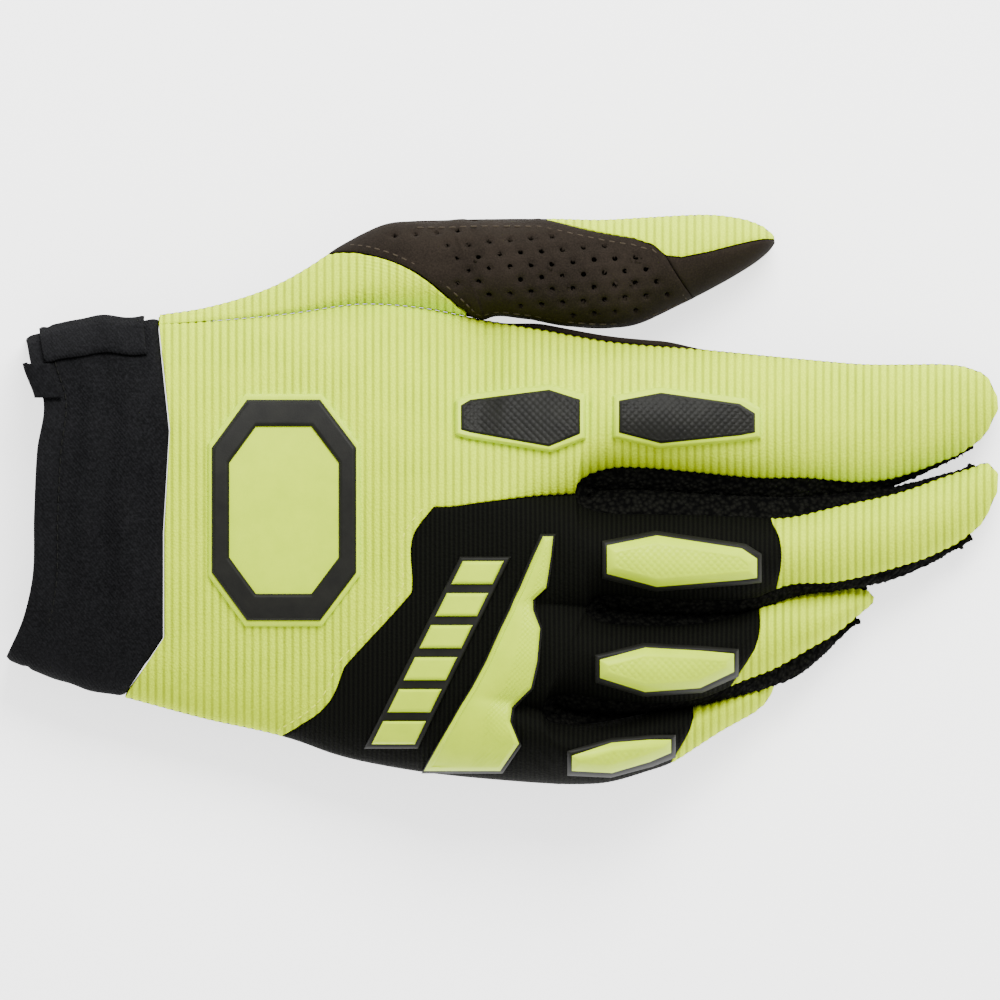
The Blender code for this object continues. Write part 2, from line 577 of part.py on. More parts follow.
def build_fourchette(strip, name):
    # Runs back along one finger's side, round the crotch, and out along the next one's
    u = finger_steps(1.91)
    columns = 2
    w = np.linspace(0, 1, columns + 1)
    sides = []
    for owner, side in ((strip, 1), (strip + 1, 0)):
        plan = edge_plan(owner, side, u)
        top, under = edge_heights(owner, side, u)
        top = top * GLOVE_HEIGHT - 1.15 * CORNER_GAP
        under = under * GLOVE_HEIGHT + 0.75 * CORNER_GAP
        under = np.minimum(under, top - 0.0008)
        along = np.gradient(plan, axis=0)
        along = unit(along)
        turn = -1.0 if side else 1.0
        outward = np.stack([along[:, 1] * -turn, along[:, 0] * turn], axis=-1)
        other = edge_plan(strip + (0 if side == 0 else 1), 1 - side, u)
        room = np.abs(plan[:, 1] - other[:, 1])
        swell = np.minimum(SLOT_BULGE, 0.22 * room)
        bow = (swell[:, None] * np.sin(np.pi * w)[None, :])[..., None] * outward[:, None, :]
        points = np.zeros((len(u), len(w), 3))
        points[..., :2] = plan[:, None, :] + bow
        points[..., 2] = top[:, None] + (under - top)[:, None] * w[None, :]
        sides.append(points)
    ribbon = np.concatenate([sides[0][::-1], sides[1][1:]])
    piece = sheet(name, [ribbon], (0.010, 0.009, 0.009), 0.95, RIBBON_WALL, under=True)
    return piece


# Cuff outline between hem and wrist: share of the way, thumb side edge, little side edge
CUFF_SIDES = [(0.0, 0.162, -0.157), (0.3, 0.171, -0.172), (0.6, 0.178, -0.184),
              (0.85, 0.176, -0.192), (1.0, 0.180, -0.195)]
# Hem line: across, along
HEM = [(-0.160, 0.004), (-0.120, 0.022), (-0.085, 0.031), (-0.012, 0.034), (0.049, 0.037),
       (0.100, 0.043), (0.130, 0.032), (0.165, 0.025)]
CUFF_HEIGHT = 0.90        # share of the wrist's height at the hem
CUFF_FOLDS = 0.0007       # depth of the soft folds round the cuff


def wrist_loop():
    # The section at the wrist seam: over the top from the thumb side, back underneath
    v = across_steps(4)
    slim = np.linspace(0, 1, 3)
    zero = np.zeros(1)
    parts = [surface(THUMB, zero, slim, True)[:-1]]
    parts += [surface(strip, zero, v, True)[:-1] for strip in (INDEX, MIDDLE, RING)]
    parts.append(surface(LITTLE, zero, v, True))
    parts += [surface(strip, zero, v[::-1], False)[:-1] for strip in (LITTLE, RING, MIDDLE, INDEX)]
    parts.append(surface(THUMB, zero, slim[::-1], False))
    return np.concatenate(parts)


def cuff_surface(rows):
    # Each wrist point runs back to the hem, with the outline and height of the cuff there
    loop = wrist_loop()
    low, high = loop[:, 1].min(), loop[:, 1].max()
    share = (loop[:, 1] - low) / (high - low)
    sides = smooth(CUFF_SIDES, rows) * ACROSS_UNIT
    across = sides[:, 1:2] + (sides[:, 0:1] - sides[:, 1:2]) * share[None, :]
    tall = CUFF_HEIGHT + (1 - CUFF_HEIGHT) * ease(0, 1, rows)
    height = tall[:, None] * loop[None, :, 2]
    hem = smooth(HEM, across[0] / ACROSS_UNIT)[:, 0] * GLOVE_LENGTH
    end = loop[:, 0] - PIECE_GAP
    along = hem[None, :] + (end - hem)[None, :] * rows[:, None]
    lift = height / max(loop[:, 2].max(), 1e-6)
    fold = np.sin(3.2 * 2 * np.pi * rows)[:, None] * np.sin(np.pi * rows)[:, None]
    height = np.maximum(height + CUFF_FOLDS * fold * lift, 0.0)
    return np.stack([along, across, height], axis=-1)


def normals_of(grid, ring):
    along = np.gradient(grid, axis=0)
    if ring:
        across = np.roll(grid, -1, axis=1) - np.roll(grid, 1, axis=1)
    else:
        across = np.gradient(grid, axis=1)
    return unit(np.cross(along, across))


def build_cuff():
    rows = np.linspace(0, 1, 9)
    grid = cuff_surface(rows)
    points = grid.reshape(-1, 3)
    faces = grid_faces(len(rows), grid.shape[1], flip=False, ring=True)
    cuff = thicken(add_object("cuff", points, faces, CUFF_CLOTH, 0.95), CUFF_WALL)
    # The flap laps the thumb side edge and ends on top
    count = grid.shape[1]
    facing = -normals_of(grid, True)
    span = [count - 1, 0, 1, 2, 3]
    lapped = (grid + facing * SEAT_GAP)[1:8, span]
    flap_faces = grid_faces(*lapped.shape[:2])
    flap = add_object("cuff_flap", lapped.reshape(-1, 3), flap_faces, CUFF_CLOTH, 0.95)
    thicken(flap, FLAP_WALL, outward=True)
    return [cuff, flap]


def surface_tree(pieces):
    # The finished outside of the given sheets, to seat other pieces on
    bpy.context.view_layer.update()
    graph = bpy.context.evaluated_depsgraph_get()
    points = []
    faces = []
    for piece in pieces:
        solid = piece.evaluated_get(graph)
        mesh = solid.to_mesh()
        first = len(points)
        points += [vertex.co.copy() for vertex in mesh.vertices]
        faces += [[first + corner for corner in face.vertices] for face in mesh.polygons]
        solid.to_mesh_clear()
    return BVHTree.FromPolygons(points, faces)


def drop(tree, x, y):
    # Where a vertical line first meets the glove, and which way the cloth faces there
    start = Vector((x, y, 2 * GLOVE_HEIGHT))
    spot, facing, _, _ = tree.ray_cast(start, Vector((0, 0, -1)))
    return spot, facing


def seated(tree, grid, lift):
    # A plan grid laid on the cloth, raised by a length square to it
    probe = 0.0012
    rows, columns = grid.shape[:2]
    laid = np.zeros((rows, columns, 3))
    for row in range(rows):
        for column in range(columns):
            x, y = grid[row, column]
            spot, facing = drop(tree, x, y)
            for dx, dy in ((probe, 0), (-probe, 0), (0, probe), (0, -probe)):
                if spot is None:
                    # The line fell through the gap between two sheets
                    spot, facing = drop(tree, x + dx, y + dy)
                    spot = spot and Vector((x, y, spot.z))
            total = Vector(facing)
            for dx, dy in ((probe, 0), (-probe, 0), (0, probe), (0, -probe)):
                near, lean = drop(tree, x + dx, y + dy)
                if near is not None and abs(near.z - spot.z) < 3 * probe:
                    total += lean
            laid[row, column] = spot + total.normalized() * lift
    clear_of(tree, laid)
    return laid


def clear_of(tree, laid):
    # Raises any cell that a ridge of the cloth would reach between its corners
    rows, columns = laid.shape[:2]
    probes = [(0.5, 0.5), (0.5, 0.0), (0.0, 0.5), (1.0, 0.5), (0.5, 1.0), (0.25, 0.25),
              (0.75, 0.75), (0.25, 0.75), (0.75, 0.25)]
    for _ in range(4):
        for row in range(rows - 1):
            for column in range(columns - 1):
                a, b = laid[row, column], laid[row, column + 1]
                c, d = laid[row + 1, column], laid[row + 1, column + 1]
                for down, over in probes:
                    near = a + (b - a) * over
                    spot = near + (c + (d - c) * over - near) * down
                    ground, facing = drop(tree, spot[0], spot[1])
                    if ground is None:
                        continue
                    short = ground.z + 0.9 * SEAT_GAP / max(facing.z, 0.35) - spot[2]
                    if short > 0:
                        laid[row:row + 2, column:column + 2, 2] += short


def refined(rows, step):
    # More rows between the given ones, none further apart than the step
    table = np.array(rows, dtype=float)
    out = [table[0]]
    for first, last in zip(table[:-1], table[1:]):
        length = abs(last[0] - first[0]) * GLOVE_LENGTH
        count = max(1, math.ceil(length / step))
        out += [first + (last - first) * k / count for k in range(1, count + 1)]
    return np.array(out)


def outline_grid(rows, border, across, turned=False):
    # Rows hold a place and the two edges there; the border moves every edge outward
    table = refined(rows, 0.0040)
    grow_long = border / GLOVE_LENGTH
    grow_wide = border / ACROSS_UNIT
    if turned:
        grow_long, grow_wide = grow_wide, grow_long
    place = table[:, 0].copy()
    middle = (table[0, 0] + table[-1, 0]) / 2
    half = abs(table[-1, 0] - table[0, 0]) / 2
    place = middle + (place - middle) * (half + grow_long) / half
    sense = np.sign(table[:, 1] - table[:, 2])
    first = table[:, 1] + sense * grow_wide
    last = table[:, 2] - sense * grow_wide
    share = np.linspace(0, 1, across + 1)
    other = first[:, None] + (last - first)[:, None] * share[None, :]
    place = np.broadcast_to(place[:, None], other.shape)
    if turned:
        return np.stack([other * GLOVE_LENGTH, place * ACROSS_UNIT], axis=-1)
    return np.stack([place * GLOVE_LENGTH, other * ACROSS_UNIT], axis=-1)


def plate(name, tree, grid, lift, thickness, colour, roughness):
    laid = seated(tree, grid, lift)
    a, b, c = laid[0, 0], laid[0, -1], laid[-1, 0]
    upward = np.cross(b - a, c - a)[2] > 0
    faces = grid_faces(*grid.shape[:2], flip=not upward)
    return thicken(add_object(name, laid.reshape(-1, 3), faces, colour, roughness), thickness,
                   outward=True)


# Pads: name, dark insert, rows of along, upper edge, lower edge
PADS = [
    ("index_rear_pad", True, [(0.460, 0.094, 0.069), (0.470, 0.100, 0.066),
                              (0.549, 0.110, 0.052), (0.581, 0.100, 0.065)]),
    ("index_front_pad", True, [(0.618, 0.099, 0.066), (0.661, 0.107, 0.055),
                               (0.740, 0.096, 0.063), (0.756, 0.086, 0.066)]),
    ("middle_pad", False, [(0.607, -0.045, -0.073), (0.657, -0.035, -0.086),
                           (0.742, -0.048, -0.079), (0.757, -0.058, -0.077)]),
    ("ring_pad", False, [(0.600, -0.158, -0.176), (0.645, -0.146, -0.190),
                         (0.700, -0.149, -0.186), (0.734, -0.152, -0.170)]),
    ("little_pad", False, [(0.572, -0.253, -0.268), (0.612, -0.240, -0.270),
                           (0.650, -0.237, -0.259), (0.671, -0.237, -0.250)])]
# Knuckle guard: across, rear edge along, clawed front edge along
GUARD = [(-0.268, 0.424, 0.500), (-0.241, 0.439, 0.519), (-0.219, 0.452, 0.510),
         (-0.205, 0.460, 0.512), (-0.186, 0.472, 0.531), (-0.160, 0.486, 0.537),
         (-0.127, 0.501, 0.540), (-0.109, 0.510, 0.533), (-0.099, 0.514, 0.533),
         (-0.087, 0.520, 0.546), (-0.055, 0.534, 0.551), (-0.036, 0.543, 0.553)]
GUARD_BORDER = 0.0006
# Badge: a long hexagon, along, upper edge, lower edge
BADGE = [(0.208, 0.055, -0.075), (0.245, 0.105, -0.125), (0.322, 0.105, -0.125),
         (0.360, 0.055, -0.075)]
BADGE_BASE = 0.0010
BADGE_RING = 0.0012
BADGE_HOLE = 0.70         # the ring's opening as a share of the badge
# Slat strip beside the guard: across, two edges along
SLAT_STRIP = [(-0.246, 0.364, 0.418), (-0.056, 0.460, 0.511)]
SLATS = 6
SLAT_SHARE = 0.72         # a tile's share of its pitch
SLAT_MARGIN = 0.10        # bare share of the strip's width on each side
STRIP_BASE = 0.0009


def build_pads(tree):
    pieces = []
    for name, dark, rows in PADS:
        base_colour, insert_colour = (MOULDED, DARK_MOULDED) if dark else (DARK_MOULDED, MOULDED)
        grid = outline_grid(rows, PAD_BORDER, 4)
        base = plate(name, tree, grid, SEAT_GAP, PAD_BASE, base_colour, 0.5)
        grid = outline_grid(rows, 0.0, 4)
        top = surface_tree([base])
        insert = plate(name + "_insert", top, grid, SEAT_GAP, PAD_INSERT, insert_colour, 0.5)
        pieces += [base, insert]
    return pieces


def build_guard(tree):
    grid = outline_grid(GUARD, GUARD_BORDER, 4, turned=True)
    base = plate("knuckle_guard", tree, grid, SEAT_GAP, PAD_BASE, DARK_MOULDED, 0.5)
    grid = outline_grid(GUARD, 0.0, 4, turned=True)
    top = surface_tree([base])
    insert = plate("knuckle_guard_insert", top, grid, SEAT_GAP, GUARD_INSERT, MOULDED, 0.45)
    return [base, insert]


def build_badge(tree):
    grid = outline_grid(BADGE, 0.0, 6)
    base = plate("badge", tree, grid, SEAT_GAP, BADGE_BASE, MOULDED, 0.5)
    outline = np.concatenate([grid[:, 0], grid[-1, 1:], grid[-2::-1, -1], grid[0, -2:0:-1]])
    middle = outline.mean(axis=0)
    rings = [middle + (outline - middle) * share for share in (0.95, 0.82, BADGE_HOLE)]
    ring_grid = np.stack(rings, axis=1)
    laid = seated(surface_tree([base]), ring_grid, SEAT_GAP)
    rows, columns = laid.shape[:2]
    faces = []
    for row in range(rows):
        for column in range(columns - 1):
            a = row * columns + column
            b = (row + 1) % rows * columns + column
            faces.append((a, a + 1, b + 1, b))
    a, b, c = laid[0, 0], laid[0, 1], laid[1, 0]
    if np.cross(b - a, c - a)[2] < 0:
        faces = [face[::-1] for face in faces]
    ring = add_object("badge_ring", laid.reshape(-1, 3), faces, DARK_MOULDED, 0.5)
    return [base, thicken(ring, BADGE_RING, outward=True)]


def build_slats(tree):
    grid = outline_grid(SLAT_STRIP, 0.0, 2, turned=True)
    strip = plate("slat_strip", tree, grid, SEAT_GAP, STRIP_BASE, DARK_MOULDED, 0.6)
    pieces = [strip]
    top = surface_tree([strip])
    start, end = np.array(SLAT_STRIP)
    for number in range(SLATS):
        first = (number + (1 - SLAT_SHARE) / 2) / SLATS
        last = (number + (1 + SLAT_SHARE) / 2) / SLATS
        rows = []
        for share in (first, last):
            across, near, far = start + (end - start) * share
            side = (far - near) * SLAT_MARGIN
            rows.append((across, near + side, far - side))
        grid = outline_grid(rows, 0.0, 1, turned=True)
        name = "slat_" + str(number + 1)
        pieces.append(plate(name, top, grid, SEAT_GAP, TILE_HEIGHT, MOULDED, 0.5))
    return pieces


HOLE_PITCH = (0.021, 0.0135)      # along and across, in the tables' units
HOLE_RISE = 0.08                  # how much a row of holes climbs along the thumb
HOLE_MARGIN = 0.0021


def pierce(patch):
    # Staggered rows of round holes through the thumb patch, clear of its edges
    tree = surface_tree([patch])
    holes = []
    for row in range(9):
        for place in range(17):
            along = 0.342 + place * HOLE_PITCH[0] + (row % 2) * HOLE_PITCH[0] / 2
            across = 0.176 + row * HOLE_PITCH[1] + HOLE_RISE * (along - 0.5)
            x, y = along * GLOVE_LENGTH, across * ACROSS_UNIT
            spot, facing = drop(tree, x, y)
            if spot is None or facing.z < 0.45:
                continue
            around = [(HOLE_MARGIN, 0), (-HOLE_MARGIN, 0), (0, HOLE_MARGIN), (0, -HOLE_MARGIN)]
            if all(drop(tree, x + dx, y + dy)[0] is not None for dx, dy in around):
                holes.append((spot, facing))
    work = bmesh.new()
    for spot, facing in holes:
        turn = facing.to_track_quat("Z", "Y").to_matrix().to_4x4()
        place = Matrix.Translation(spot - facing * 0.5 * SUEDE_WALL) @ turn
        bmesh.ops.create_cone(work, cap_ends=True, segments=5, radius1=HOLE_WIDTH / 2,
                              radius2=HOLE_WIDTH / 2, depth=3.4 * SUEDE_WALL, matrix=place)
    mesh = bpy.data.meshes.new("thumb_patch_holes")
    work.to_mesh(mesh)
    work.free()
    cutter = bpy.data.objects.new("thumb_patch_holes", mesh)
    cutter.hide_render = True
    cutter.display_type = "WIRE"
    bpy.data.collections["cutters"].objects.link(cutter)
    cut = patch.modifiers.new("Holes", "BOOLEAN")
    cut.operation = "DIFFERENCE"
    cut.solver = "EXACT"
    cut.object = cutter
    return len(holes)


# Hem tab: place across, width across, and its folded path as height and length in metres
TAB_PLACE = 0.118
TAB_WIDTH = 0.034
TAB_LAP = 0.0042
TAB_WALL = 0.0010


def build_tab(cuff):
    # A short tape folded over the hem: flat on the cuff, round the edge, down in front
    tree = surface_tree([cuff])
    columns = 4
    share = np.linspace(-0.5, 0.5, columns + 1)
    across = (TAB_PLACE + share * TAB_WIDTH) * ACROSS_UNIT
    grid = np.zeros((6, columns + 1, 3))
    for column, y in enumerate(across):
        hem = float(smooth(HEM, y / ACROSS_UNIT)[0]) * GLOVE_LENGTH
        heights = []
        for step in range(3):
            x = hem + TAB_LAP * (1 - step / 2) + 0.0004
            spot, _ = drop(tree, x, y)
            heights.append(spot.z)
            grid[step, column] = (x, y, spot.z)
        grid[:3, column, 2] = max(heights) + 1.3 * SEAT_GAP
        top = grid[2, column, 2]
        grid[3, column] = (hem - 0.0009, y, top)
        grid[4, column] = (hem - 0.0013, y, top - 0.0006)
        grid[5, column] = (hem - 0.0013, y, top - 1.2 * CUFF_WALL)
    faces = grid_faces(6, columns + 1)
    a, b, c = grid[0, 0], grid[0, 1], grid[1, 0]
    if np.cross(b - a, c - a)[2] < 0:
        faces = [face[::-1] for face in faces]
    tab = add_object("cuff_tab", grid.reshape(-1, 3), faces, CUFF_CLOTH, 0.9)
    return thicken(tab, TAB_WALL, outward=True)


def start_scene():
    for item in list(bpy.data.objects):
        bpy.data.objects.remove(item, do_unlink=True)
    for name in ("motocross_glove", "cutters"):
        group = bpy.data.collections.new(name)
        bpy.context.scene.collection.children.link(group)


def settle(pieces):
    # Origin at the middle of the bounding box, on the floor
    bpy.context.view_layer.update()
    graph = bpy.context.evaluated_depsgraph_get()
    points = []
    for piece in pieces:
        mesh = piece.evaluated_get(graph).to_mesh()
        flat = np.zeros(len(mesh.vertices) * 3)
        mesh.vertices.foreach_get("co", flat)
        points.append(flat.reshape(-1, 3))
        piece.evaluated_get(graph).to_mesh_clear()
    points = np.concatenate(points)
    low, high = points.min(axis=0), points.max(axis=0)
    shift = Vector((-(low[0] + high[0]) / 2, -(low[1] + high[1]) / 2, -low[2]))
    for item in bpy.data.objects:
        if item.type == "MESH":
            for vertex in item.data.vertices:
                vertex.co += shift


def main():
    start_scene()
    pieces = [build_back_panel(), build_knuckle_panel()]
    pieces.append(build_tip(MIDDLE, "middle_tip"))
    pieces.append(build_tip(RING, "ring_tip"))
    pieces.append(build_tip(LITTLE, "little_tip"))
    pieces.append(build_palm())
    pieces += build_thumb()
    pieces.append(build_fourchette(INDEX, "fourchette_index_middle"))
    pieces.append(build_fourchette(MIDDLE, "fourchette_middle_ring"))
    pieces.append(build_fourchette(RING, "fourchette_ring_little"))
    cuff = build_cuff()
    pieces += cuff
    pieces.append(build_tab(cuff[0]))
    patch = bpy.data.objects["thumb_patch"]
    pierce(patch)
    tree = surface_tree(pieces[:2])
    pieces += build_pads(tree)
    pieces += build_guard(tree)
    pieces += build_badge(tree)
    pieces += build_slats(tree)
    settle(pieces)


main()
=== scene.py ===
import math

import bmesh
import bpy
import numpy as np
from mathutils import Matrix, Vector


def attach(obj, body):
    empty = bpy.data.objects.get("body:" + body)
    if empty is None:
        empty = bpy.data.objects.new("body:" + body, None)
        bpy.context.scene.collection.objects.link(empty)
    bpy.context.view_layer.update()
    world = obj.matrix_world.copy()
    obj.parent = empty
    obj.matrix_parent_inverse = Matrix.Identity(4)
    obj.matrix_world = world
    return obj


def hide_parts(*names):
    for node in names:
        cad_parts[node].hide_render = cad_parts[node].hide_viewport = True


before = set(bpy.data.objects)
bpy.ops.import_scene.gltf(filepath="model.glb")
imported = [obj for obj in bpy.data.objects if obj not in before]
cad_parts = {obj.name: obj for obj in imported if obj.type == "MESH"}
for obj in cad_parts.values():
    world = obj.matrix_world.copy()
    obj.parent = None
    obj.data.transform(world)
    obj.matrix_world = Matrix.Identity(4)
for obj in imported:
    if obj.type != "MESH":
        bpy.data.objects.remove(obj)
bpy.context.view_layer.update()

# Driving sizes of the glove in metres, as in the solids. Along is a share of gloveLength,
# 0.430 of across is handWidth, heights are shares of gloveHeight.
glove = dict(gloveLength=0.230, handWidth=0.100, gloveHeight=0.044, cornerGap=0.00012,
             pieceGap=0.00012, sideRadius=0.012, middleAlong=0.11539)
acrossUnit = glove["handWidth"] / 0.430
halfGap = glove["pieceGap"] / 2
thumb, index, middle, ring, little = range(5)
thumbCrotch = 0.739
capStart = 1.86

# Lines between the strips, wrist to crotch: station, along, across
indexSide = [
    (0, 0.159, 0.174), (0.116, 0.21, 0.177), (0.29, 0.287, 0.184), (0.472, 0.367, 0.194),
    (0.58, 0.415, 0.191), (0.739, 0.485, 0.178), (0.864, 0.54, 0.169), (1, 0.6, 0.158),
    (1.25, 0.7, 0.149), (1.52, 0.805, 0.139), (1.68, 0.868, 0.134), (1.8, 0.915, 0.134),
    (1.87, 0.945, 0.134), (1.93, 0.97, 0.13), (1.975, 0.989, 0.119), (2, 0.997, 0.102)]
indexMiddle = [
    (0, 0.17, 0.07), (0.32, 0.3, 0.018), (0.52, 0.38, 0.001), (0.685, 0.447, -0.007),
    (0.764, 0.479, -0.003), (0.887, 0.529, 0.003), (1, 0.575, 0.006)]
middleRing = [
    (0, 0.164, -0.031), (0.322, 0.3, -0.065), (0.559, 0.4, -0.09), (0.796, 0.5, -0.101),
    (1, 0.586, -0.106)]
ringLittle = [
    (0, 0.164, -0.136), (0.308, 0.28, -0.152), (0.533, 0.365, -0.17), (0.785, 0.46, -0.191),
    (1, 0.541, -0.208)]
littleSide = [
    (0, 0.125, -0.195), (0.172, 0.2, -0.215), (0.395, 0.297, -0.238), (0.471, 0.33, -0.25),
    (0.671, 0.417, -0.268), (0.862, 0.5, -0.277), (1, 0.56, -0.281), (1.09, 0.588, -0.281),
    (1.22, 0.614, -0.278), (1.36, 0.645, -0.269), (1.48, 0.671, -0.26), (1.6, 0.697, -0.244),
    (1.72, 0.722, -0.228), (1.82, 0.742, -0.217), (1.9, 0.757, -0.208), (1.96, 0.768, -0.197),
    (2, 0.774, -0.185)]
thumbSide = [
    (0, 0.16, 0.183), (0.116, 0.205, 0.19), (0.29, 0.275, 0.212), (0.4, 0.313, 0.233),
    (0.472, 0.34, 0.251), (0.58, 0.381, 0.271), (0.739, 0.45, 0.277), (0.85, 0.5, 0.278),
    (1, 0.55, 0.278), (1.15, 0.6, 0.277), (1.3, 0.64, 0.279), (1.45, 0.675, 0.281), (1.6, 0.705, 0.282),
    (1.75, 0.73, 0.28), (1.88, 0.752, 0.275), (1.95, 0.765, 0.269), (2, 0.774, 0.261)]
# Lines past the crotch, where neighbours part: station, along, across
thumbInner = [
    (0.739, 0.485, 0.178), (0.77, 0.494, 0.181), (0.85, 0.524, 0.179), (1, 0.575, 0.171),
    (1.15, 0.612, 0.17), (1.3, 0.645, 0.177), (1.45, 0.68, 0.193), (1.6, 0.708, 0.207),
    (1.75, 0.737, 0.223), (1.88, 0.76, 0.238), (1.95, 0.77, 0.247), (2, 0.775, 0.254)]
indexInner = [
    (1, 0.575, 0.006), (1.015, 0.576, 0.014), (1.04, 0.584, 0.022), (1.09, 0.604, 0.03),
    (1.17, 0.64, 0.032), (1.25, 0.69, 0.028), (1.4, 0.757, 0.022), (1.52, 0.803, 0.022),
    (1.68, 0.864, 0.018), (1.8, 0.906, 0.025), (1.87, 0.941, 0.038), (1.93, 0.965, 0.049),
    (1.975, 0.987, 0.068), (2, 0.998, 0.09)]
middleUpper = [
    (1, 0.575, 0.006), (1.015, 0.577, -0.001), (1.04, 0.584, -0.007), (1.09, 0.602, -0.012),
    (1.2, 0.65, -0.014), (1.33, 0.705, -0.015), (1.45, 0.755, -0.017), (1.52, 0.782, -0.018),
    (1.65, 0.84, -0.006), (1.78, 0.902, 0.008), (1.88, 0.945, 0.023), (1.94, 0.972, 0.032),
    (1.975, 0.988, 0.036), (2, 0.998, 0.026)]
middleLower = [
    (1, 0.586, -0.106), (1.015, 0.588, -0.101), (1.04, 0.595, -0.096), (1.09, 0.612, -0.094),
    (1.2, 0.655, -0.097), (1.33, 0.705, -0.099), (1.45, 0.757, -0.096), (1.52, 0.785, -0.085),
    (1.65, 0.836, -0.081), (1.78, 0.895, -0.067), (1.88, 0.938, -0.052), (1.94, 0.967, -0.036),
    (1.975, 0.985, -0.018), (2, 0.997, 0.008)]
ringUpper = [
    (1, 0.586, -0.106), (1.015, 0.587, -0.111), (1.04, 0.593, -0.117), (1.09, 0.606, -0.121),
    (1.22, 0.65, -0.124), (1.36, 0.7, -0.122), (1.48, 0.74, -0.113), (1.58, 0.77, -0.1),
    (1.7, 0.805, -0.093), (1.8, 0.834, -0.09), (1.9, 0.857, -0.088), (1.96, 0.868, -0.09),
    (2, 0.874, -0.096)]
ringLower = [
    (1, 0.541, -0.208), (1.015, 0.543, -0.202), (1.04, 0.548, -0.196), (1.09, 0.562, -0.192),
    (1.22, 0.61, -0.198), (1.36, 0.66, -0.201), (1.48, 0.705, -0.195), (1.58, 0.74, -0.18),
    (1.7, 0.776, -0.166), (1.8, 0.808, -0.148), (1.9, 0.84, -0.129), (1.96, 0.861, -0.112),
    (2, 0.873, -0.102)]
littleUpper = [
    (1, 0.541, -0.208), (1.015, 0.543, -0.213), (1.04, 0.548, -0.218), (1.09, 0.56, -0.221),
    (1.22, 0.597, -0.22), (1.36, 0.64, -0.212), (1.48, 0.672, -0.205), (1.6, 0.701, -0.202),
    (1.72, 0.726, -0.194), (1.82, 0.745, -0.187), (1.9, 0.758, -0.18), (1.96, 0.768, -0.177),
    (2, 0.775, -0.18)]

# Where each strip's two edges run: line in the hand, line past the crotch, crotch station
edges = {
    (thumb, 0): (thumbSide, None, 9), (thumb, 1): (indexSide, thumbInner, thumbCrotch),
    (index, 0): (indexSide, None, 9), (index, 1): (indexMiddle, indexInner, 1),
    (middle, 0): (indexMiddle, middleUpper, 1), (middle, 1): (middleRing, middleLower, 1),
    (ring, 0): (middleRing, ringUpper, 1), (ring, 1): (ringLittle, ringLower, 1),
    (little, 0): (ringLittle, littleUpper, 1), (little, 1): (littleSide, None, 9)}

# Finger profile seen from the side: station, crest height, sole height
profile = {
    thumb: [(0, 0.44, 0), (0.29, 0.53, 0), (0.472, 0.6, -0.04), (0.739, 0.65, -0.03),
            (1, 0.65, 0.03), (1.3, 0.61, 0.03), (1.6, 0.53, -0.02), (1.88, 0.43, -0.04),
            (2, 0.38, -0.04)],
    index: [(0, 0.8, 0), (0.8, 0.93, 0.2), (1, 0.94, 0.25), (1.25, 0.87, 0.29),
            (1.5, 0.73, 0.22), (1.7, 0.58, 0.11), (1.85, 0.47, 0.01), (1.93, 0.4, -0.03),
            (2, 0.36, -0.03)],
    middle: [(0, 0.8, 0), (0.8, 0.97, 0.2), (1, 1, 0.26), (1.25, 0.93, 0.33),
             (1.5, 0.79, 0.27), (1.7, 0.62, 0.14), (1.85, 0.48, 0.02), (1.93, 0.4, -0.03),
             (2, 0.36, -0.03)],
    ring: [(0, 0.8, 0), (0.8, 0.95, 0.2), (1, 0.95, 0.26), (1.25, 0.87, 0.3),
           (1.5, 0.72, 0.21), (1.7, 0.56, 0.1), (1.85, 0.45, 0.01), (1.93, 0.38, -0.03),
           (2, 0.34, -0.03)],
    little: [(0, 0.7, 0), (0.8, 0.86, 0.18), (1, 0.84, 0.2), (1.25, 0.75, 0.21),
             (1.5, 0.63, 0.15), (1.7, 0.5, 0.07), (1.85, 0.4, 0), (1.93, 0.34, -0.03),
             (2, 0.31, -0.03)]}
# Height of the seam along each outer side: station, height
sideSeam = {
    (thumb, 0): [(0, 0.39), (0.29, 0.34), (0.58, 0.32), (1, 0.32), (1.5, 0.27), (2, 0.17)],
    (thumb, 1): [(0.739, 0.33), (1, 0.33), (1.5, 0.27), (2, 0.17)],
    (index, 0): [(0.739, 0.33), (0.864, 0.38), (1, 0.45), (1.25, 0.5), (1.5, 0.44),
                 (1.7, 0.34), (1.85, 0.24), (2, 0.17)],
    (little, 1): [(0, 0.38), (0.4, 0.4), (0.8, 0.42), (1, 0.44), (1.25, 0.45), (1.5, 0.37),
                  (1.7, 0.27), (1.85, 0.2), (2, 0.15)]}
# Index side line while the thumb is joined: station, height on top, height underneath
thumbRoot = [(0, 0.48, 0.13), (0.2, 0.53, 0.09), (0.4, 0.57, 0.03), (0.55, 0.55, 0.06),
             (0.65, 0.48, 0.16), (0.739, 0.36, 0.3)]
# Hand: station, highest point, palm arch
hand = [(0, 0.8, -0.02), (0.2, 0.82, -0.02), (0.35, 0.85, 0), (0.5, 0.89, 0.05),
        (0.7, 0.94, 0.13), (0.85, 0.97, 0.19), (1, 0.99, 0.24), (2, 0.99, 0.24)]


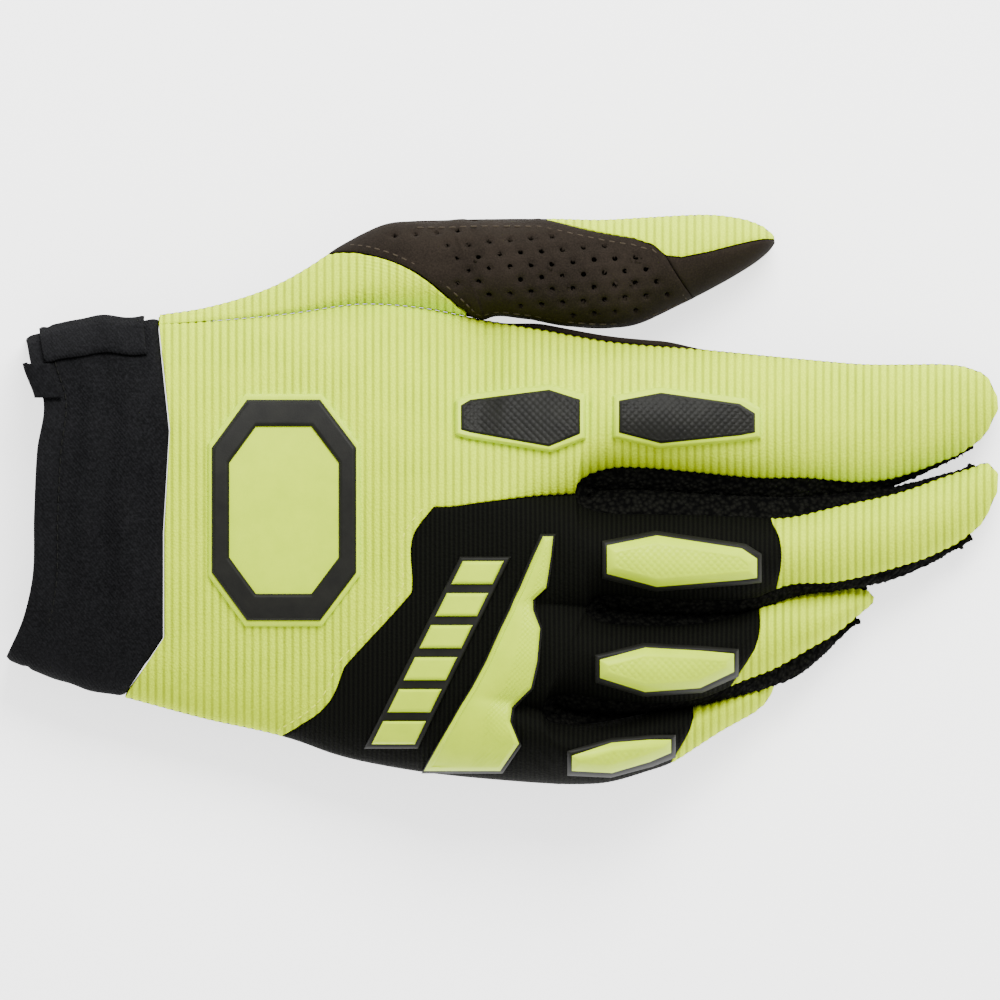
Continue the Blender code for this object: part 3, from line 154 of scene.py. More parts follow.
def smooth(rows, at):
    # Cubic through the rows; a row's slope is the weighted mean of the slopes beside it
    table = np.array(rows, dtype=float)
    spots, values = table[:, 0], table[:, 1:]
    step = np.diff(spots)[:, None]
    rise = np.diff(values, axis=0) / step
    slope = np.empty_like(values)
    slope[0], slope[-1] = rise[0], rise[-1]
    slope[1:-1] = (rise[:-1] * step[1:] + rise[1:] * step[:-1]) / (step[:-1] + step[1:])
    at = np.clip(np.asarray(at, dtype=float), spots[0], spots[-1])
    cell = np.clip(np.searchsorted(spots, at, side="right") - 1, 0, len(spots) - 2)
    width = step[cell, 0][..., None]
    t = ((at - spots[cell])[..., None]) / width
    start = (1 + 2 * t) * (1 - t) ** 2 * values[cell] + t * (1 - t) ** 2 * width * slope[cell]
    end = t * t * (3 - 2 * t) * values[cell + 1] - t * t * (1 - t) * width * slope[cell + 1]
    return start + end


def ease(low, high, x):
    s = np.clip((np.asarray(x, dtype=float) - low) / (high - low), 0.0, 1.0)
    return s * s * (3.0 - 2.0 * s)


def dome(t, cutLeft, cutRight, power):
    # One in the middle, zero at both edges; a cut of one meets its edge upright
    cut = np.where(t < 0, cutLeft, cutRight)
    rest = (1 - cut ** power) ** (1 / power)
    body = (1 - np.minimum(np.abs(t) * cut, 1.0) ** power) ** (1 / power)
    return (body - rest) / (1 - rest)


def edgePlan(strip, side, u):
    handLine, finger, crotch = edges[(strip, side)]
    u = np.asarray(u, dtype=float)
    line = smooth(handLine, u)
    if finger is not None:
        line = np.where((u > crotch)[..., None], smooth(finger, u), line)
    along = line[..., 0] * glove["gloveLength"] - glove["middleAlong"]
    return np.stack([along, line[..., 1] * acrossUnit], axis=-1)


def edgeHeights(strip, side, u):
    # Heights of the top sheet's and the palm sheet's edges, as shares of gloveHeight
    u = np.asarray(u, dtype=float)
    half = glove["cornerGap"] / 2 / glove["gloveHeight"]
    if (strip, side) in sideSeam:
        seam = smooth(sideSeam[(strip, side)], u)[..., 0]
        top, under = seam + half, seam - half
        if (strip, side) in ((thumb, 1), (index, 0)):
            root = smooth(thumbRoot, u)
            joined = u < thumbCrotch
            top = np.where(joined, root[..., 0], top)
            under = np.where(joined, root[..., 1], under)
        return top, under
    own = smooth(profile[strip], u)
    shared = (own + smooth(profile[strip + (1 if side else -1)], u)) / 2
    both = shared + (own - shared) * ease(1.0, 1.2, u)[..., None]
    closing = ease(1.84, 1.95, u)
    thick = both[..., 0] - both[..., 1]
    sole = np.maximum(both[..., 1], 0.0)
    upper = 0.70 + (0.47 - 0.70) * closing
    lower = 0.27 + (0.47 - 0.27) * closing
    return sole + thick * upper + half * closing, sole + thick * lower - half * closing


def cuts(strip, u):
    left, right = np.ones_like(u), np.ones_like(u)
    if strip in (middle, ring, little):
        left = 0.86 + 0.14 * ease(1.84, 1.95, u)
    if strip in (index, middle, ring):
        right = 0.86 + 0.14 * ease(1.84, 1.95, u)
    if strip == thumb:
        right = 0.70 + 0.30 * ease(0.55, 0.80, u)
    if strip == index:
        left = 0.80 + 0.20 * ease(0.62, 0.80, u)
    return left, right


def surface(strip, u, v, top):
    # A point of the glove's skin: u is the station, v runs from edge to edge. Height is the
    # chord between the two edges plus a quarter-round bow; in the hand one wide bow instead.
    u, v = np.broadcast_arrays(np.asarray(u, dtype=float), np.asarray(v, dtype=float))
    left, right = edgePlan(strip, 0, u), edgePlan(strip, 1, u)
    plan = left + (right - left) * v[..., None]
    leftTop, leftUnder = edgeHeights(strip, 0, u)
    rightTop, rightUnder = edgeHeights(strip, 1, u)
    cutLeft, cutRight = cuts(strip, u)
    own = smooth(profile[strip], u)
    closing = np.sqrt(1 - np.clip((u - capStart) / (2 - capStart), 0, 1) ** 2)
    bow = closing * dome(2 * v - 1, cutLeft, cutRight, 2.0)
    if top:
        height = leftTop + (rightTop - leftTop) * v + (own[..., 0] - (leftTop + rightTop) / 2) * bow
    else:
        height = leftUnder + (rightUnder - leftUnder) * v
        height = height + (own[..., 1] - (leftUnder + rightUnder) / 2) * bow
    if strip != thumb:
        first, last = edgePlan(index, 0, u)[..., 1], edgePlan(little, 1, u)[..., 1]
        share = np.clip((first - plan[..., 1]) / (first - last), 0.0, 1.0)
        width = first - last
        whole = smooth(hand, u)
        firstTop, firstUnder = edgeHeights(index, 0, u)
        lastTop, lastUnder = edgeHeights(little, 1, u)
        if top:
            base = firstTop + (lastTop - firstTop) * share
            cutFirst = 0.80 + 0.20 * ease(0.62, 0.80, u)
            body = base + (whole[..., 0] - (firstTop + lastTop) / 2) * dome(
                2 * share - 1, cutFirst, np.ones_like(u), 2.3)
        else:
            arch = whole[..., 1]
            near = np.clip(share * width / glove["sideRadius"], 0, 1)
            far = np.clip((1 - share) * width / glove["sideRadius"], 0, 1)
            body = arch + (firstUnder - arch) * (1 - np.sqrt(1 - (1 - near) ** 2))
            body = body + (lastUnder - arch) * (1 - np.sqrt(1 - (1 - far) ** 2))
        height = body + (height - body) * ease(0.78, 1.10, u)
    height = np.maximum(height * glove["gloveHeight"], 0.0)
    return np.concatenate([plan, height[..., None]], axis=-1)


def unit(vectors):
    return vectors / np.maximum(np.linalg.norm(vectors, axis=-1, keepdims=True), 1e-12)


def acrossSteps(count):
    even = np.linspace(0, 1, count + 1)
    return 0.25 * even + 0.75 * (1 - np.cos(np.pi * even)) / 2


def stripWidth(strip, u):
    return np.linalg.norm(edgePlan(strip, 1, u) - edgePlan(strip, 0, u), axis=-1)


def trimmed(strip, u, v, leftGap=0.0, rightGap=0.0):
    width = stripWidth(strip, u)
    return leftGap / width + (1 - leftGap / width - rightGap / width) * v


def nearThumb(u):
    return glove["cornerGap"] / 2 * (1 - ease(thumbCrotch, 0.85, u))


borderRows = [(1.0, 0.447), (1.25, 0.425), (2.0, 0.407), (3.0, 0.366), (3.45, 0.345), (4.0, 0.300)]
tipBorders = {
    middle: [(0.0, 0.771), (0.4, 0.781), (0.7, 0.781), (1.0, 0.776)],
    ring: [(0.0, 0.758), (0.3, 0.760), (0.6, 0.755), (0.85, 0.741), (1.0, 0.731)],
    little: [(0.0, 0.693), (0.3, 0.693), (0.65, 0.686), (1.0, 0.671)]}


def stationAt(strip, side, along):
    stations = np.linspace(0, 2, 1601)
    plan = (edgePlan(strip, side, stations)[:, 0] + glove["middleAlong"]) / glove["gloveLength"]
    return np.interp(along, plan, stations)


def borderStation(position):
    # Station of the slanted border between the yellow back and the dark knuckle panel
    position = np.asarray(position, dtype=float)
    strip = int(min(position.min() + 1e-6, little))
    share = position - strip
    along = smooth(borderRows, position)[..., 0]
    first, last = stationAt(strip, 0, along), stationAt(strip, 1, along)
    return first + (last - first) * share


def tipStation(strip, share):
    along = smooth(tipBorders[strip], share)[..., 0]
    first, last = stationAt(strip, 0, along), stationAt(strip, 1, along)
    return first + (last - first) * share


def shifted(length, strip=index, slant=1.0):
    start, end = edgePlan(strip, 1, np.array([1.0, 2.0]))[:, 0]
    return length * slant / (end - start)


def evenStations(strip, start, end, step, side=1):
    # Stations about one step apart in real length, closer together where the tip rounds off
    fine = np.linspace(start, end, 3000)
    plan = edgePlan(strip, side, fine)
    length = np.concatenate([[0], np.cumsum(np.linalg.norm(np.diff(plan, axis=0), axis=1))])
    round_ = np.clip((fine - capStart) / (2 - capStart), 0, 1)
    length = length + 0.010 * (1 - np.sqrt(1 - round_ ** 2))
    count = max(2, int(round(length[-1] / step)))
    return np.interp(np.linspace(0, length[-1], count + 1), length, fine)


def between(first, last, share):
    return first * (1 - share) + last * share


def linear(code):
    # sRGB hex to linear
    parts = [int(code[k:k + 2], 16) / 255 for k in (1, 3, 5)]
    return tuple(p / 12.92 if p <= 0.04045 else ((p + 0.055) / 1.055) ** 2.4 for p in parts) + (1.0,)


def node(tree, kind, inputs=(), **settings):
    # Adds one shader node; inputs hold either a value or another node's output
    made = tree.nodes.new(kind)
    for name, value in settings.items():
        setattr(made, name, value)
    for slot, value in dict(inputs).items():
        if isinstance(value, bpy.types.NodeSocket):
            tree.links.new(value, made.inputs[slot])
        else:
            made.inputs[slot].default_value = value
    return made


def gridFaces(rows, columns, first=0, ringed=False):
    number = np.arange(rows * columns).reshape(rows, columns) + first
    if ringed:
        number = np.concatenate([number, number[:, :1]], axis=1)
    corners = (number[:-1, :-1], number[:-1, 1:], number[1:, 1:], number[1:, :-1])
    return np.stack(corners, axis=-1).reshape(-1, 4)


def meshFrom(name, points, faces):
    mesh = bpy.data.meshes.new(name)
    mesh.vertices.add(len(points))
    mesh.vertices.foreach_set("co", np.ascontiguousarray(points, dtype=np.float32).ravel())
    faces = np.ascontiguousarray(faces, dtype=np.int32)
    mesh.loops.add(faces.size)
    mesh.loops.foreach_set("vertex_index", faces.ravel())
    mesh.polygons.add(len(faces))
    mesh.polygons.foreach_set("loop_start", np.arange(len(faces), dtype=np.int32) * faces.shape[1])
    mesh.update(calc_edges=True)
    return mesh


def tidyMesh(mesh, gap=2e-6, outside=False):
    # Joins points that lie together and drops flat faces; outside turns every face outward
    work = bmesh.new()
    work.from_mesh(mesh)
    bmesh.ops.remove_doubles(work, verts=work.verts, dist=gap)
    bmesh.ops.dissolve_degenerate(work, dist=1e-7, edges=work.edges)
    if outside:
        bmesh.ops.recalc_face_normals(work, faces=work.faces)
    work.to_mesh(mesh)
    work.free()
    mesh.shade_smooth()


def pointsOf(mesh):
    flat = np.empty(len(mesh.vertices) * 3, dtype=np.float32)
    mesh.vertices.foreach_get("co", flat)
    return flat.reshape(-1, 3).astype(float)


def normalsOf(mesh):
    flat = np.empty(len(mesh.vertices) * 3, dtype=np.float32)
    mesh.vertices.foreach_get("normal", flat)
    return unit(flat.reshape(-1, 3).astype(float))


def nearest(points, targets, chunk=4000):
    # Distance from each point to the nearest target, worked in blocks
    out = np.empty(len(points))
    for start in range(0, len(points), chunk):
        block = points[start:start + chunk]
        square = (block ** 2).sum(1)[:, None] + (targets ** 2).sum(1)[None, :] - 2 * block @ targets.T
        out[start:start + chunk] = np.sqrt(np.maximum(square.min(axis=1), 0))
    return out


def rimPoints(mesh):
    # The points on the open edges of a sheet
    loopEdges = np.empty(len(mesh.loops), dtype=np.int32)
    mesh.loops.foreach_get("edge_index", loopEdges)
    uses = np.bincount(loopEdges, minlength=len(mesh.edges))
    ends = np.empty(len(mesh.edges) * 2, dtype=np.int32)
    mesh.edges.foreach_get("vertices", ends)
    return np.unique(ends.reshape(-1, 2)[uses == 1])


def makeObject(name, mesh, material):
    piece = bpy.data.objects.new(name, mesh)
    bpy.context.scene.collection.objects.link(piece)
    mesh.materials.clear()
    mesh.materials.append(material)
    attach(piece, "root")
    return piece


def clothSheet(name, grids, material, wall, relief=None, under=False, roll=0.0003, rollWidth=0.0014,
               cut=None, outward=None):
    # One sheet from grids that share lines. Each point moves along its normal by
    # relief(point), and near an edge into the glove by roll * (1 - d / rollWidth)^2, where d is
    # the distance to the nearest rim. outward(points) gives the side that faces out.
    points, faces, total = [], [], 0
    for grid in grids:
        rows, columns = grid.shape[:2]
        points.append(grid.reshape(-1, 3))
        faces.append(gridFaces(rows, columns, total))
        total += rows * columns
    points, faces = np.concatenate(points), np.concatenate(faces)
    if cut is not None:
        points, faces = cut(points, faces)
    mesh = meshFrom(name, points, faces)
    tidyMesh(mesh)
    normals = normalsOf(mesh)
    spots = pointsOf(mesh)
    sense = (normals * outward(spots)).sum(axis=1).mean() if outward else normals[:, 2].mean()
    if (sense < 0) != (under and outward is None):
        mesh.flip_normals()
        mesh.update()
        normals = -normals
    move = np.zeros(len(spots))
    if relief is not None:
        move = move + relief(spots, normals)
    rim = spots[rimPoints(mesh)]
    near = nearest(spots, rim[::max(1, len(rim) // 1500)])
    sink = normals if outward else np.array([[0.0, 0.0, -1.0 if under else 1.0]])
    tuck = roll * np.clip(1 - near / rollWidth, 0, 1) ** 2
    spots = spots + normals * move[:, None] - sink * tuck[:, None]
    spots[:, 2] = np.maximum(spots[:, 2], 0.0002)
    mesh.vertices.foreach_set("co", spots.astype(np.float32).ravel())
    mesh.update()
    piece = makeObject(name, mesh, material)
    solid = piece.modifiers.new("Wall", "SOLIDIFY")
    solid.thickness = wall
    solid.offset = -1.0
    solid.use_even_offset = False
    return piece


def objectSpots(tree):
    return node(tree, "ShaderNodeTexCoord").outputs["Object"]


def plainMaterial(name, colour, roughness, specular=0.04):
    # One even colour; the low specular keeps black cloth from greying in the soft light
    material = bpy.data.materials.new(name)
    material.use_nodes = True
    tree = material.node_tree
    shader = tree.nodes["Principled BSDF"]
    shader.inputs["Base Color"].default_value = linear(colour)
    shader.inputs["Roughness"].default_value = roughness
    shader.inputs["Sheen Weight"].default_value = 0.0
    shader.inputs["Specular IOR Level"].default_value = specular
    return material, tree, shader


def stretched(tree, spots, scale):
    return node(tree, "ShaderNodeMapping", {"Vector": spots, "Scale": scale}).outputs["Vector"]


def noise(tree, spots, scale, detail=3.0, rough=0.55):
    made = node(tree, "ShaderNodeTexNoise", {"Vector": spots, "Scale": scale, "Detail": detail,
                                             "Roughness": rough})
    return made.outputs["Fac"]


def ramp(tree, value, low, high, first, last):
    return node(tree, "ShaderNodeMapRange", {"Value": value, "From Min": low, "From Max": high,
                                             "To Min": first, "To Max": last}).outputs["Result"]


def maths(tree, operation, a, b=0.0):
    return node(tree, "ShaderNodeMath", {0: a, 1: b}, operation=operation).outputs[0]


def mixed(tree, factor, first, last):
    # Slots 0, 6 and 7 are the factor and the two colours, and output 2 is the colour
    made = node(tree, "ShaderNodeMix", {0: factor, 6: first, 7: last}, data_type="RGBA")
    return made.outputs[2]


def bumped(tree, shader, height, distance, strength=1.0):
    bump = node(tree, "ShaderNodeBump", {"Height": height, "Distance": distance, "Strength": strength})
    tree.links.new(bump.outputs["Normal"], shader.inputs["Normal"])


ribs = dict(pitch=0.00185, depth=0.00030, step=0.00032)
courses = dict(pitch=0.0011, depth=0.00006)
# Wall of each cloth in metres
walls = dict(knit=0.0012, suede=0.0013, pile=0.0008)


def ribPhase(tree, spots, pitch):
    # 0 in a groove, 1 on a rib: 0.5 - 0.5 cos(2 pi x / pitch)
    parts = node(tree, "ShaderNodeSeparateXYZ", {"Vector": spots})
    turn = maths(tree, "MULTIPLY", parts.outputs["X"], 2 * math.pi / pitch)
    wave = maths(tree, "MULTIPLY", maths(tree, "COSINE", turn), -0.5)
    return maths(tree, "ADD", wave, 0.5)


def ribKnitMaterial():
    # Bright yellow rib knit with small loops along each rib; painted shade makes the grooves and the gaps
    # between the loops darker and greener
    material, tree, shader = plainMaterial("yellowRibKnit", "#D0EC00", 0.85)
    spots = objectSpots(tree)
    rib = ribPhase(tree, spots, ribs["pitch"])
    loops = node(tree, "ShaderNodeTexVoronoi", {"Vector": stretched(tree, spots, (1.3, 1.0, 1.0)),
                                                "Scale": 1700.0}).outputs["Distance"]
    patchy = noise(tree, spots, 90.0)
    # Painted shade: the grooves darker and greener than the ribs
    shade = mixed(tree, ramp(tree, rib, 0.0, 0.55, 0.0, 1.0), linear("#9CB000"), linear("#D0EC00"))
    grooveShadeAndClouds = mixed(tree, ramp(tree, patchy, 0.35, 0.7, 0.0, 0.35), shade, linear("#DCF200"))
    # Painted shade: darker and greener in the gaps between the loops, where the bump sinks
    paintedLoopShade = mixed(tree, ramp(tree, loops, 0.25, 0.75, 0.0, 0.30), grooveShadeAndClouds, linear("#9AB600"))
    tree.links.new(paintedLoopShade, shader.inputs["Base Color"])
    bumped(tree, shader, ramp(tree, loops, 0.0, 0.8, 1.0, 0.0), 0.00016, 0.7)
    return material


def darkKnitMaterial():
    # Black stretch knit with a faint olive cast and fine courses; painted shade makes the grooves between
    # the courses darker
    material, tree, shader = plainMaterial("blackStretchKnit", "#0D0E09", 0.80)
    spots = objectSpots(tree)
    rib = ribPhase(tree, spots, courses["pitch"])
    loops = node(tree, "ShaderNodeTexVoronoi", {"Vector": spots, "Scale": 1500.0}).outputs["Distance"]
    # Painted shade: darker in the grooves between the courses
    shade = mixed(tree, rib, linear("#050504"), linear("#0D0E09"))
    tree.links.new(shade, shader.inputs["Base Color"])
    height = maths(tree, "ADD", maths(tree, "MULTIPLY", rib, 0.8), ramp(tree, loops, 0.0, 0.8, 0.6, 0.0))
    bumped(tree, shader, height, 0.00018, 0.9)
    return material


def suedeMaterial():
    # Dark brown suede: fine nap with lighter brushed clouds
    material, tree, shader = plainMaterial("darkBrownSuede", "#1A1612", 0.92)
    spots = objectSpots(tree)
    clouds = noise(tree, spots, 60.0, 4.0, 0.6)
    nap = noise(tree, spots, 2600.0, 2.0, 0.7)
    shade = mixed(tree, ramp(tree, clouds, 0.3, 0.7, 0.0, 1.0), linear("#120F0C"), linear("#211C17"))
    fine = mixed(tree, ramp(tree, nap, 0.35, 0.7, 0.0, 0.4), shade, linear("#322B24"))
    tree.links.new(fine, shader.inputs["Base Color"])
    bumped(tree, shader, nap, 0.00012, 0.5)
    return material


def pileMaterial():
    # Black looped pile between the fingers; painted shade makes the gaps between the loops darker
    material, tree, shader = plainMaterial("blackLoopPile", "#0A0A09", 0.95)
    spots = objectSpots(tree)
    loops = node(tree, "ShaderNodeTexVoronoi", {"Vector": spots, "Scale": 900.0}).outputs["Distance"]
    # Painted shade: darker in the gaps between the loops, where the bump sinks
    shade = mixed(tree, ramp(tree, loops, 0.1, 0.7, 0.0, 1.0), linear("#151512"), linear("#030303"))
    tree.links.new(shade, shader.inputs["Base Color"])
    bumped(tree, shader, ramp(tree, loops, 0.0, 0.8, 1.0, 0.0), 0.0005, 1.0)
    return material


def cuffMaterial():
    # Charcoal brushed twill: diagonal lines 0.8 mm apart along X and a soft fuzz
    material, tree, shader = plainMaterial("charcoalTwill", "#101011", 0.93)
    spots = objectSpots(tree)
    parts = node(tree, "ShaderNodeSeparateXYZ", {"Vector": spots})
    lean = maths(tree, "ADD", parts.outputs["X"], maths(tree, "MULTIPLY", parts.outputs["Y"], 0.8))
    wave = maths(tree, "SINE", maths(tree, "MULTIPLY", lean, 2 * math.pi / 0.0008))
    fuzz = noise(tree, spots, 1500.0, 3.0, 0.65)
    clouds = noise(tree, spots, 45.0, 3.0, 0.6)
    shade = mixed(tree, ramp(tree, clouds, 0.3, 0.7, 0.0, 1.0), linear("#0B0B0C"), linear("#131314"))
    fine = mixed(tree, ramp(tree, fuzz, 0.4, 0.75, 0.0, 0.5), shade, linear("#232325"))
    tree.links.new(fine, shader.inputs["Base Color"])
    height = maths(tree, "ADD", maths(tree, "MULTIPLY", wave, 0.18), fuzz)
    bumped(tree, shader, height, 0.00022, 0.8)
    return material


def mouldedMaterial(name, low, high, roughness):
    # Moulded rubber: a faint mottling keeps it from looking flat
    material, tree, shader = plainMaterial(name, high, roughness, specular=0.16)
    spots = objectSpots(tree)
    clouds = noise(tree, spots, 220.0, 3.0, 0.6)
    shade = mixed(tree, ramp(tree, clouds, 0.3, 0.7, 0.0, 1.0), linear(low), linear(high))
    tree.links.new(shade, shader.inputs["Base Color"])
    bumped(tree, shader, noise(tree, spots, 3200.0, 2.0), 0.00005, 0.4)
    return material


def threadMaterial(name, colour):
    # Sewing thread: slightly rough, with a twist too fine to count
    material, tree, shader = plainMaterial(name, colour, 0.7)
    bumped(tree, shader, noise(tree, objectSpots(tree), 3800.0), 0.00006, 0.5)
    return material


yellowKnit = ribKnitMaterial()
blackKnit = darkKnitMaterial()
brownSuede = suedeMaterial()
blackPile = pileMaterial()
charcoal = cuffMaterial()
yellowRubber = mouldedMaterial("yellowMouldedRubber", "#BEDC00", "#C6E400", 0.42)
darkRubber = mouldedMaterial("oliveBlackMouldedRubber", "#10100D", "#181814", 0.55)
darkThread = threadMaterial("blackThread", "#1A1A18")
brownThread = threadMaterial("darkBrownThread", "#3A332A")
paleThread = threadMaterial("yellowThread", "#DCEB3A")


def ribRelief(spots, normals):
    # depth * (|sin(pi x / pitch)| - 0.6): sharp grooves, round ribs
    wave = np.abs(np.sin(np.pi * spots[:, 0] / ribs["pitch"]))
    return ribs["depth"] * (wave - 0.6)


def courseRelief(spots, normals):
    return courses["depth"] * np.sin(2 * np.pi * spots[:, 0] / courses["pitch"])


print("cloth panels")
# Back panel: the index strip from wrist to fingertip, and three strips up to a slanted border.
# Rows follow the stations about 0.3 mm apart so that every rib gets six of them.
back = dict(indexColumns=30, handColumns=18)
gap = shifted(halfGap, index, 1.3)
corner = float(borderStation(1.0)) - gap
lower = evenStations(index, 0.0, corner, ribs["step"])
upper = evenStations(index, corner + 2 * gap, 2.0, ribs["step"])
u = np.concatenate([lower, upper])[:, None]
beside = (u > corner) & (u <= 1.0)
share = trimmed(index, u, acrossSteps(back["indexColumns"])[None, :], nearThumb(u),
                np.where(beside, halfGap, 0.0))
grids = [surface(index, u, share, True)]
for strip in (middle, ring, little):
    v = acrossSteps(back["handColumns"])
    ends = borderStation(strip - 1 + np.minimum(v, 0.999999)) - gap
    rows = (lower / corner)[:, None]
    grids.append(surface(strip, ends[None, :] * rows, np.broadcast_to(v, (len(lower), len(v))), True))
backPanel = clothSheet("backPanel", grids, yellowKnit, walls["knit"], ribRelief)
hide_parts("back_panel")

# Knuckle panel: dark stretch knit from the slanted border to the three fingertips
knuckle = dict(handRows=60, fingerRows=60, columns=22)
grids = []
for strip in (middle, ring, little):
    v = acrossSteps(knuckle["columns"])
    starts = borderStation(strip - 1 + np.minimum(v, 0.999999)) + gap
    rows = np.linspace(0, 1, knuckle["handRows"] + 1)[:, None]
    u = between(starts[None, :], 1.0, rows)
    near = halfGap if strip == middle else 0.0
    share = trimmed(strip, u, v[None, :], near)
    if strip == middle:
        share = np.where(rows < 1, share, v)
    grids.append(surface(strip, u, share, True))
    ends = tipStation(strip, v) - shifted(halfGap, strip, 1.3)
    rows = np.linspace(0, 1, knuckle["fingerRows"] + 1)[:, None] ** 1.15
    u = 1 + (ends[None, :] - 1) * rows
    grids.append(surface(strip, u, np.broadcast_to(v, u.shape), True))
knucklePanel = clothSheet("knucklePanel", grids, blackKnit, walls["knit"], courseRelief)
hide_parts("knuckle_panel")

# Fingertips in rib knit: strip, name, CAD name, flat width, flat length, area
tipSheets = [(middle, "middleTip", "middle_tip", 0.030, 0.052, 0.00125),
             (ring, "ringTip", "ring_tip", 0.028, 0.030, 0.00064),
             (little, "littleTip", "little_tip", 0.023, 0.026, 0.00048)]
for strip, name, cadName, wide, long, area in tipSheets:
    v = acrossSteps(28)
    starts = tipStation(strip, v) + shifted(halfGap, strip, 1.3)
    bend = evenStations(strip, float(starts.max()), 2.0, ribs["step"])
    rows = ((bend - bend[0]) / (2.0 - bend[0]))[:, None]
    u = between(starts[None, :], 2.0, rows)
    grid = surface(strip, u, np.broadcast_to(v, u.shape), True)
    tip = clothSheet(name, [grid], yellowKnit, walls["knit"], ribRelief)
    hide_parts(cadName)


def palmRelief(spots, normals):
    # Along the index finger the palm stands out 1.3 mm past the yellow edge
    along = ease(-0.001, 0.010, spots[:, 0]) * (1 - ease(0.036, 0.048, spots[:, 0]))
    side = ease(0.5, 0.9, normals[:, 1]) * ease(0.018, 0.026, spots[:, 1])
    return 0.0013 * along * side


u = np.concatenate([np.linspace(0, 1, 90), evenStations(index, 1.0, 2.0, 0.0009)[1:]])[:, None]
grids = []
for strip in (index, middle, ring, little):
    near = nearThumb(u) if strip == index else 0.0
    grids.append(surface(strip, u, trimmed(strip, u, acrossSteps(26)[None, :], near), False))
palm = clothSheet("palmCloth", grids, brownSuede, walls["suede"], palmRelief, under=True, roll=0.0002)
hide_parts("palm")

# Thumb: rib gusset, perforated patch, rib strip along the outer side, suede end, underside
patchStart = [(0.0, 0.44), (0.3, 0.53), (0.6, 0.62), (1.0, 0.70)]
patchEnd = [(0.0, 1.40), (1.0, 1.52)]
thumbSeamRows = np.array([(0.0, 0.0), (0.97, 0.0), (1.12, 0.096), (1.27, 0.19), (1.35, 0.28),
                          (1.40, 0.42), (1.47, 0.48), (1.62, 0.50), (2.0, 0.50)])


def thumbSeam(u):
    return np.interp(u, thumbSeamRows[:, 0], thumbSeamRows[:, 1])


gap = shifted(halfGap, thumb, 1.3)
slanted = shifted(halfGap, thumb, 2.6)
v = acrossSteps(30)[None, :]
ends = smooth(patchStart, v[0])[:, 0] - slanted
u = ends[None, :] * np.linspace(0, 1, 190)[:, None]
share = trimmed(thumb, u, v, 0.0, nearThumb(u))
grid = surface(thumb, u, share, True)
gusset = clothSheet("thumbGusset", [grid], yellowKnit, walls["knit"], ribRelief)
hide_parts("thumb_gusset")

# Perforated patch: round holes of radius hole, cut through, in lines that slope by rise. Every
# other line starts half a pitch on. Lines and places are shares like the tables' own.
patch = dict(rows=230, columns=120, hole=0.00058, margin=0.0021, pitch=(0.021, 0.0135), rise=0.08,
             first=(0.342, 0.176), lines=9, places=17, level=0.45, found=0.0004)
across = np.linspace(0, 1, patch["columns"] + 1)[None, :]
across = 0.5 * across + 0.5 * (1 - np.cos(np.pi * across)) / 2
starts = smooth(patchStart, across[0])[:, 0] + slanted
stops = smooth(patchEnd, across[0])[:, 0] - gap
rows = np.linspace(0, 1, patch["rows"] + 1)[:, None]
u = between(starts[None, :], stops[None, :], rows)
whole = trimmed(thumb, u, across, 0.0, nearThumb(u))
seam = thumbSeam(u)
near = np.where(seam > 0, seam + glove["pieceGap"] / stripWidth(thumb, u), 0.0)
patchGrid = surface(thumb, u, near + (1 - near) * whole, True)
lines, places = np.meshgrid(np.arange(patch["lines"]), np.arange(patch["places"]), indexing="ij")
along = patch["first"][0] + places * patch["pitch"][0] + (lines % 2) * patch["pitch"][0] / 2
sideways = patch["first"][1] + lines * patch["pitch"][1] + patch["rise"] * (along - 0.5)
holeCentres = np.stack([along * glove["gloveLength"] - glove["middleAlong"], sideways * acrossUnit],
                       axis=-1).reshape(-1, 2)
edgeLine = np.concatenate([patchGrid[0], patchGrid[-1], patchGrid[:, 0], patchGrid[:, -1]])[:, :2]
flatPatch = patchGrid[..., :2].reshape(-1, 2)
slope = unit(np.cross(np.gradient(patchGrid, axis=0), np.gradient(patchGrid, axis=1)))[..., 2].ravel()
closest = ((holeCentres[:, None, :] - flatPatch[None, ::3]) ** 2).sum(-1)
level = np.abs(slope[::3][closest.argmin(axis=1)])
inside = np.sqrt(closest.min(axis=1)) < patch["found"]
keep = inside & (level > patch["level"]) & (nearest(holeCentres, edgeLine) > patch["margin"])
holeCentres = holeCentres[keep]
print("patch holes", len(holeCentres))


def cutHoles(points, faces):
    # Faces wholly inside a hole go; rim points move on to the circle c + r (p - c) / |p - c|
    away = points[:, None, :2] - holeCentres[None]
    distance = np.linalg.norm(away, axis=-1)
    which = distance.argmin(axis=1)
    reach = distance[np.arange(len(points)), which]
    within = reach < patch["hole"]
    faces = faces[~within[faces].all(axis=1)]
    used = np.unique(faces)
    rim = np.zeros(len(points), dtype=bool)
    rim[used] = True
    rim &= within
    step = away[np.arange(len(points)), which] / np.maximum(reach, 1e-9)[:, None]
    points = points.copy()
    points[rim, :2] = holeCentres[which[rim]] + step[rim] * patch["hole"]
    number = np.cumsum(np.isin(np.arange(len(points)), used)) - 1
    return points[used], number[faces]


def patchRelief(spots, normals):
    # A soft cross crease near x = -7 mm and the dimple of each hole
    crease = np.exp(-((spots[:, 0] + 0.0073 - 0.10 * (spots[:, 1] - 0.054)) / 0.0016) ** 2)
    dimple = np.exp(-(nearest(spots[:, :2], holeCentres) / 0.0009) ** 2)
    soft = 0.00025 * np.sin(spots[:, 0] * 330 + 4) * np.sin(spots[:, 1] * 210)
    return soft - 0.0006 * crease - 0.00022 * dimple


thumbPatch = clothSheet("thumbPatch", [patchGrid], brownSuede, walls["suede"], patchRelief,
                        roll=0.00035, cut=cutHoles)
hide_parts("thumb_patch")

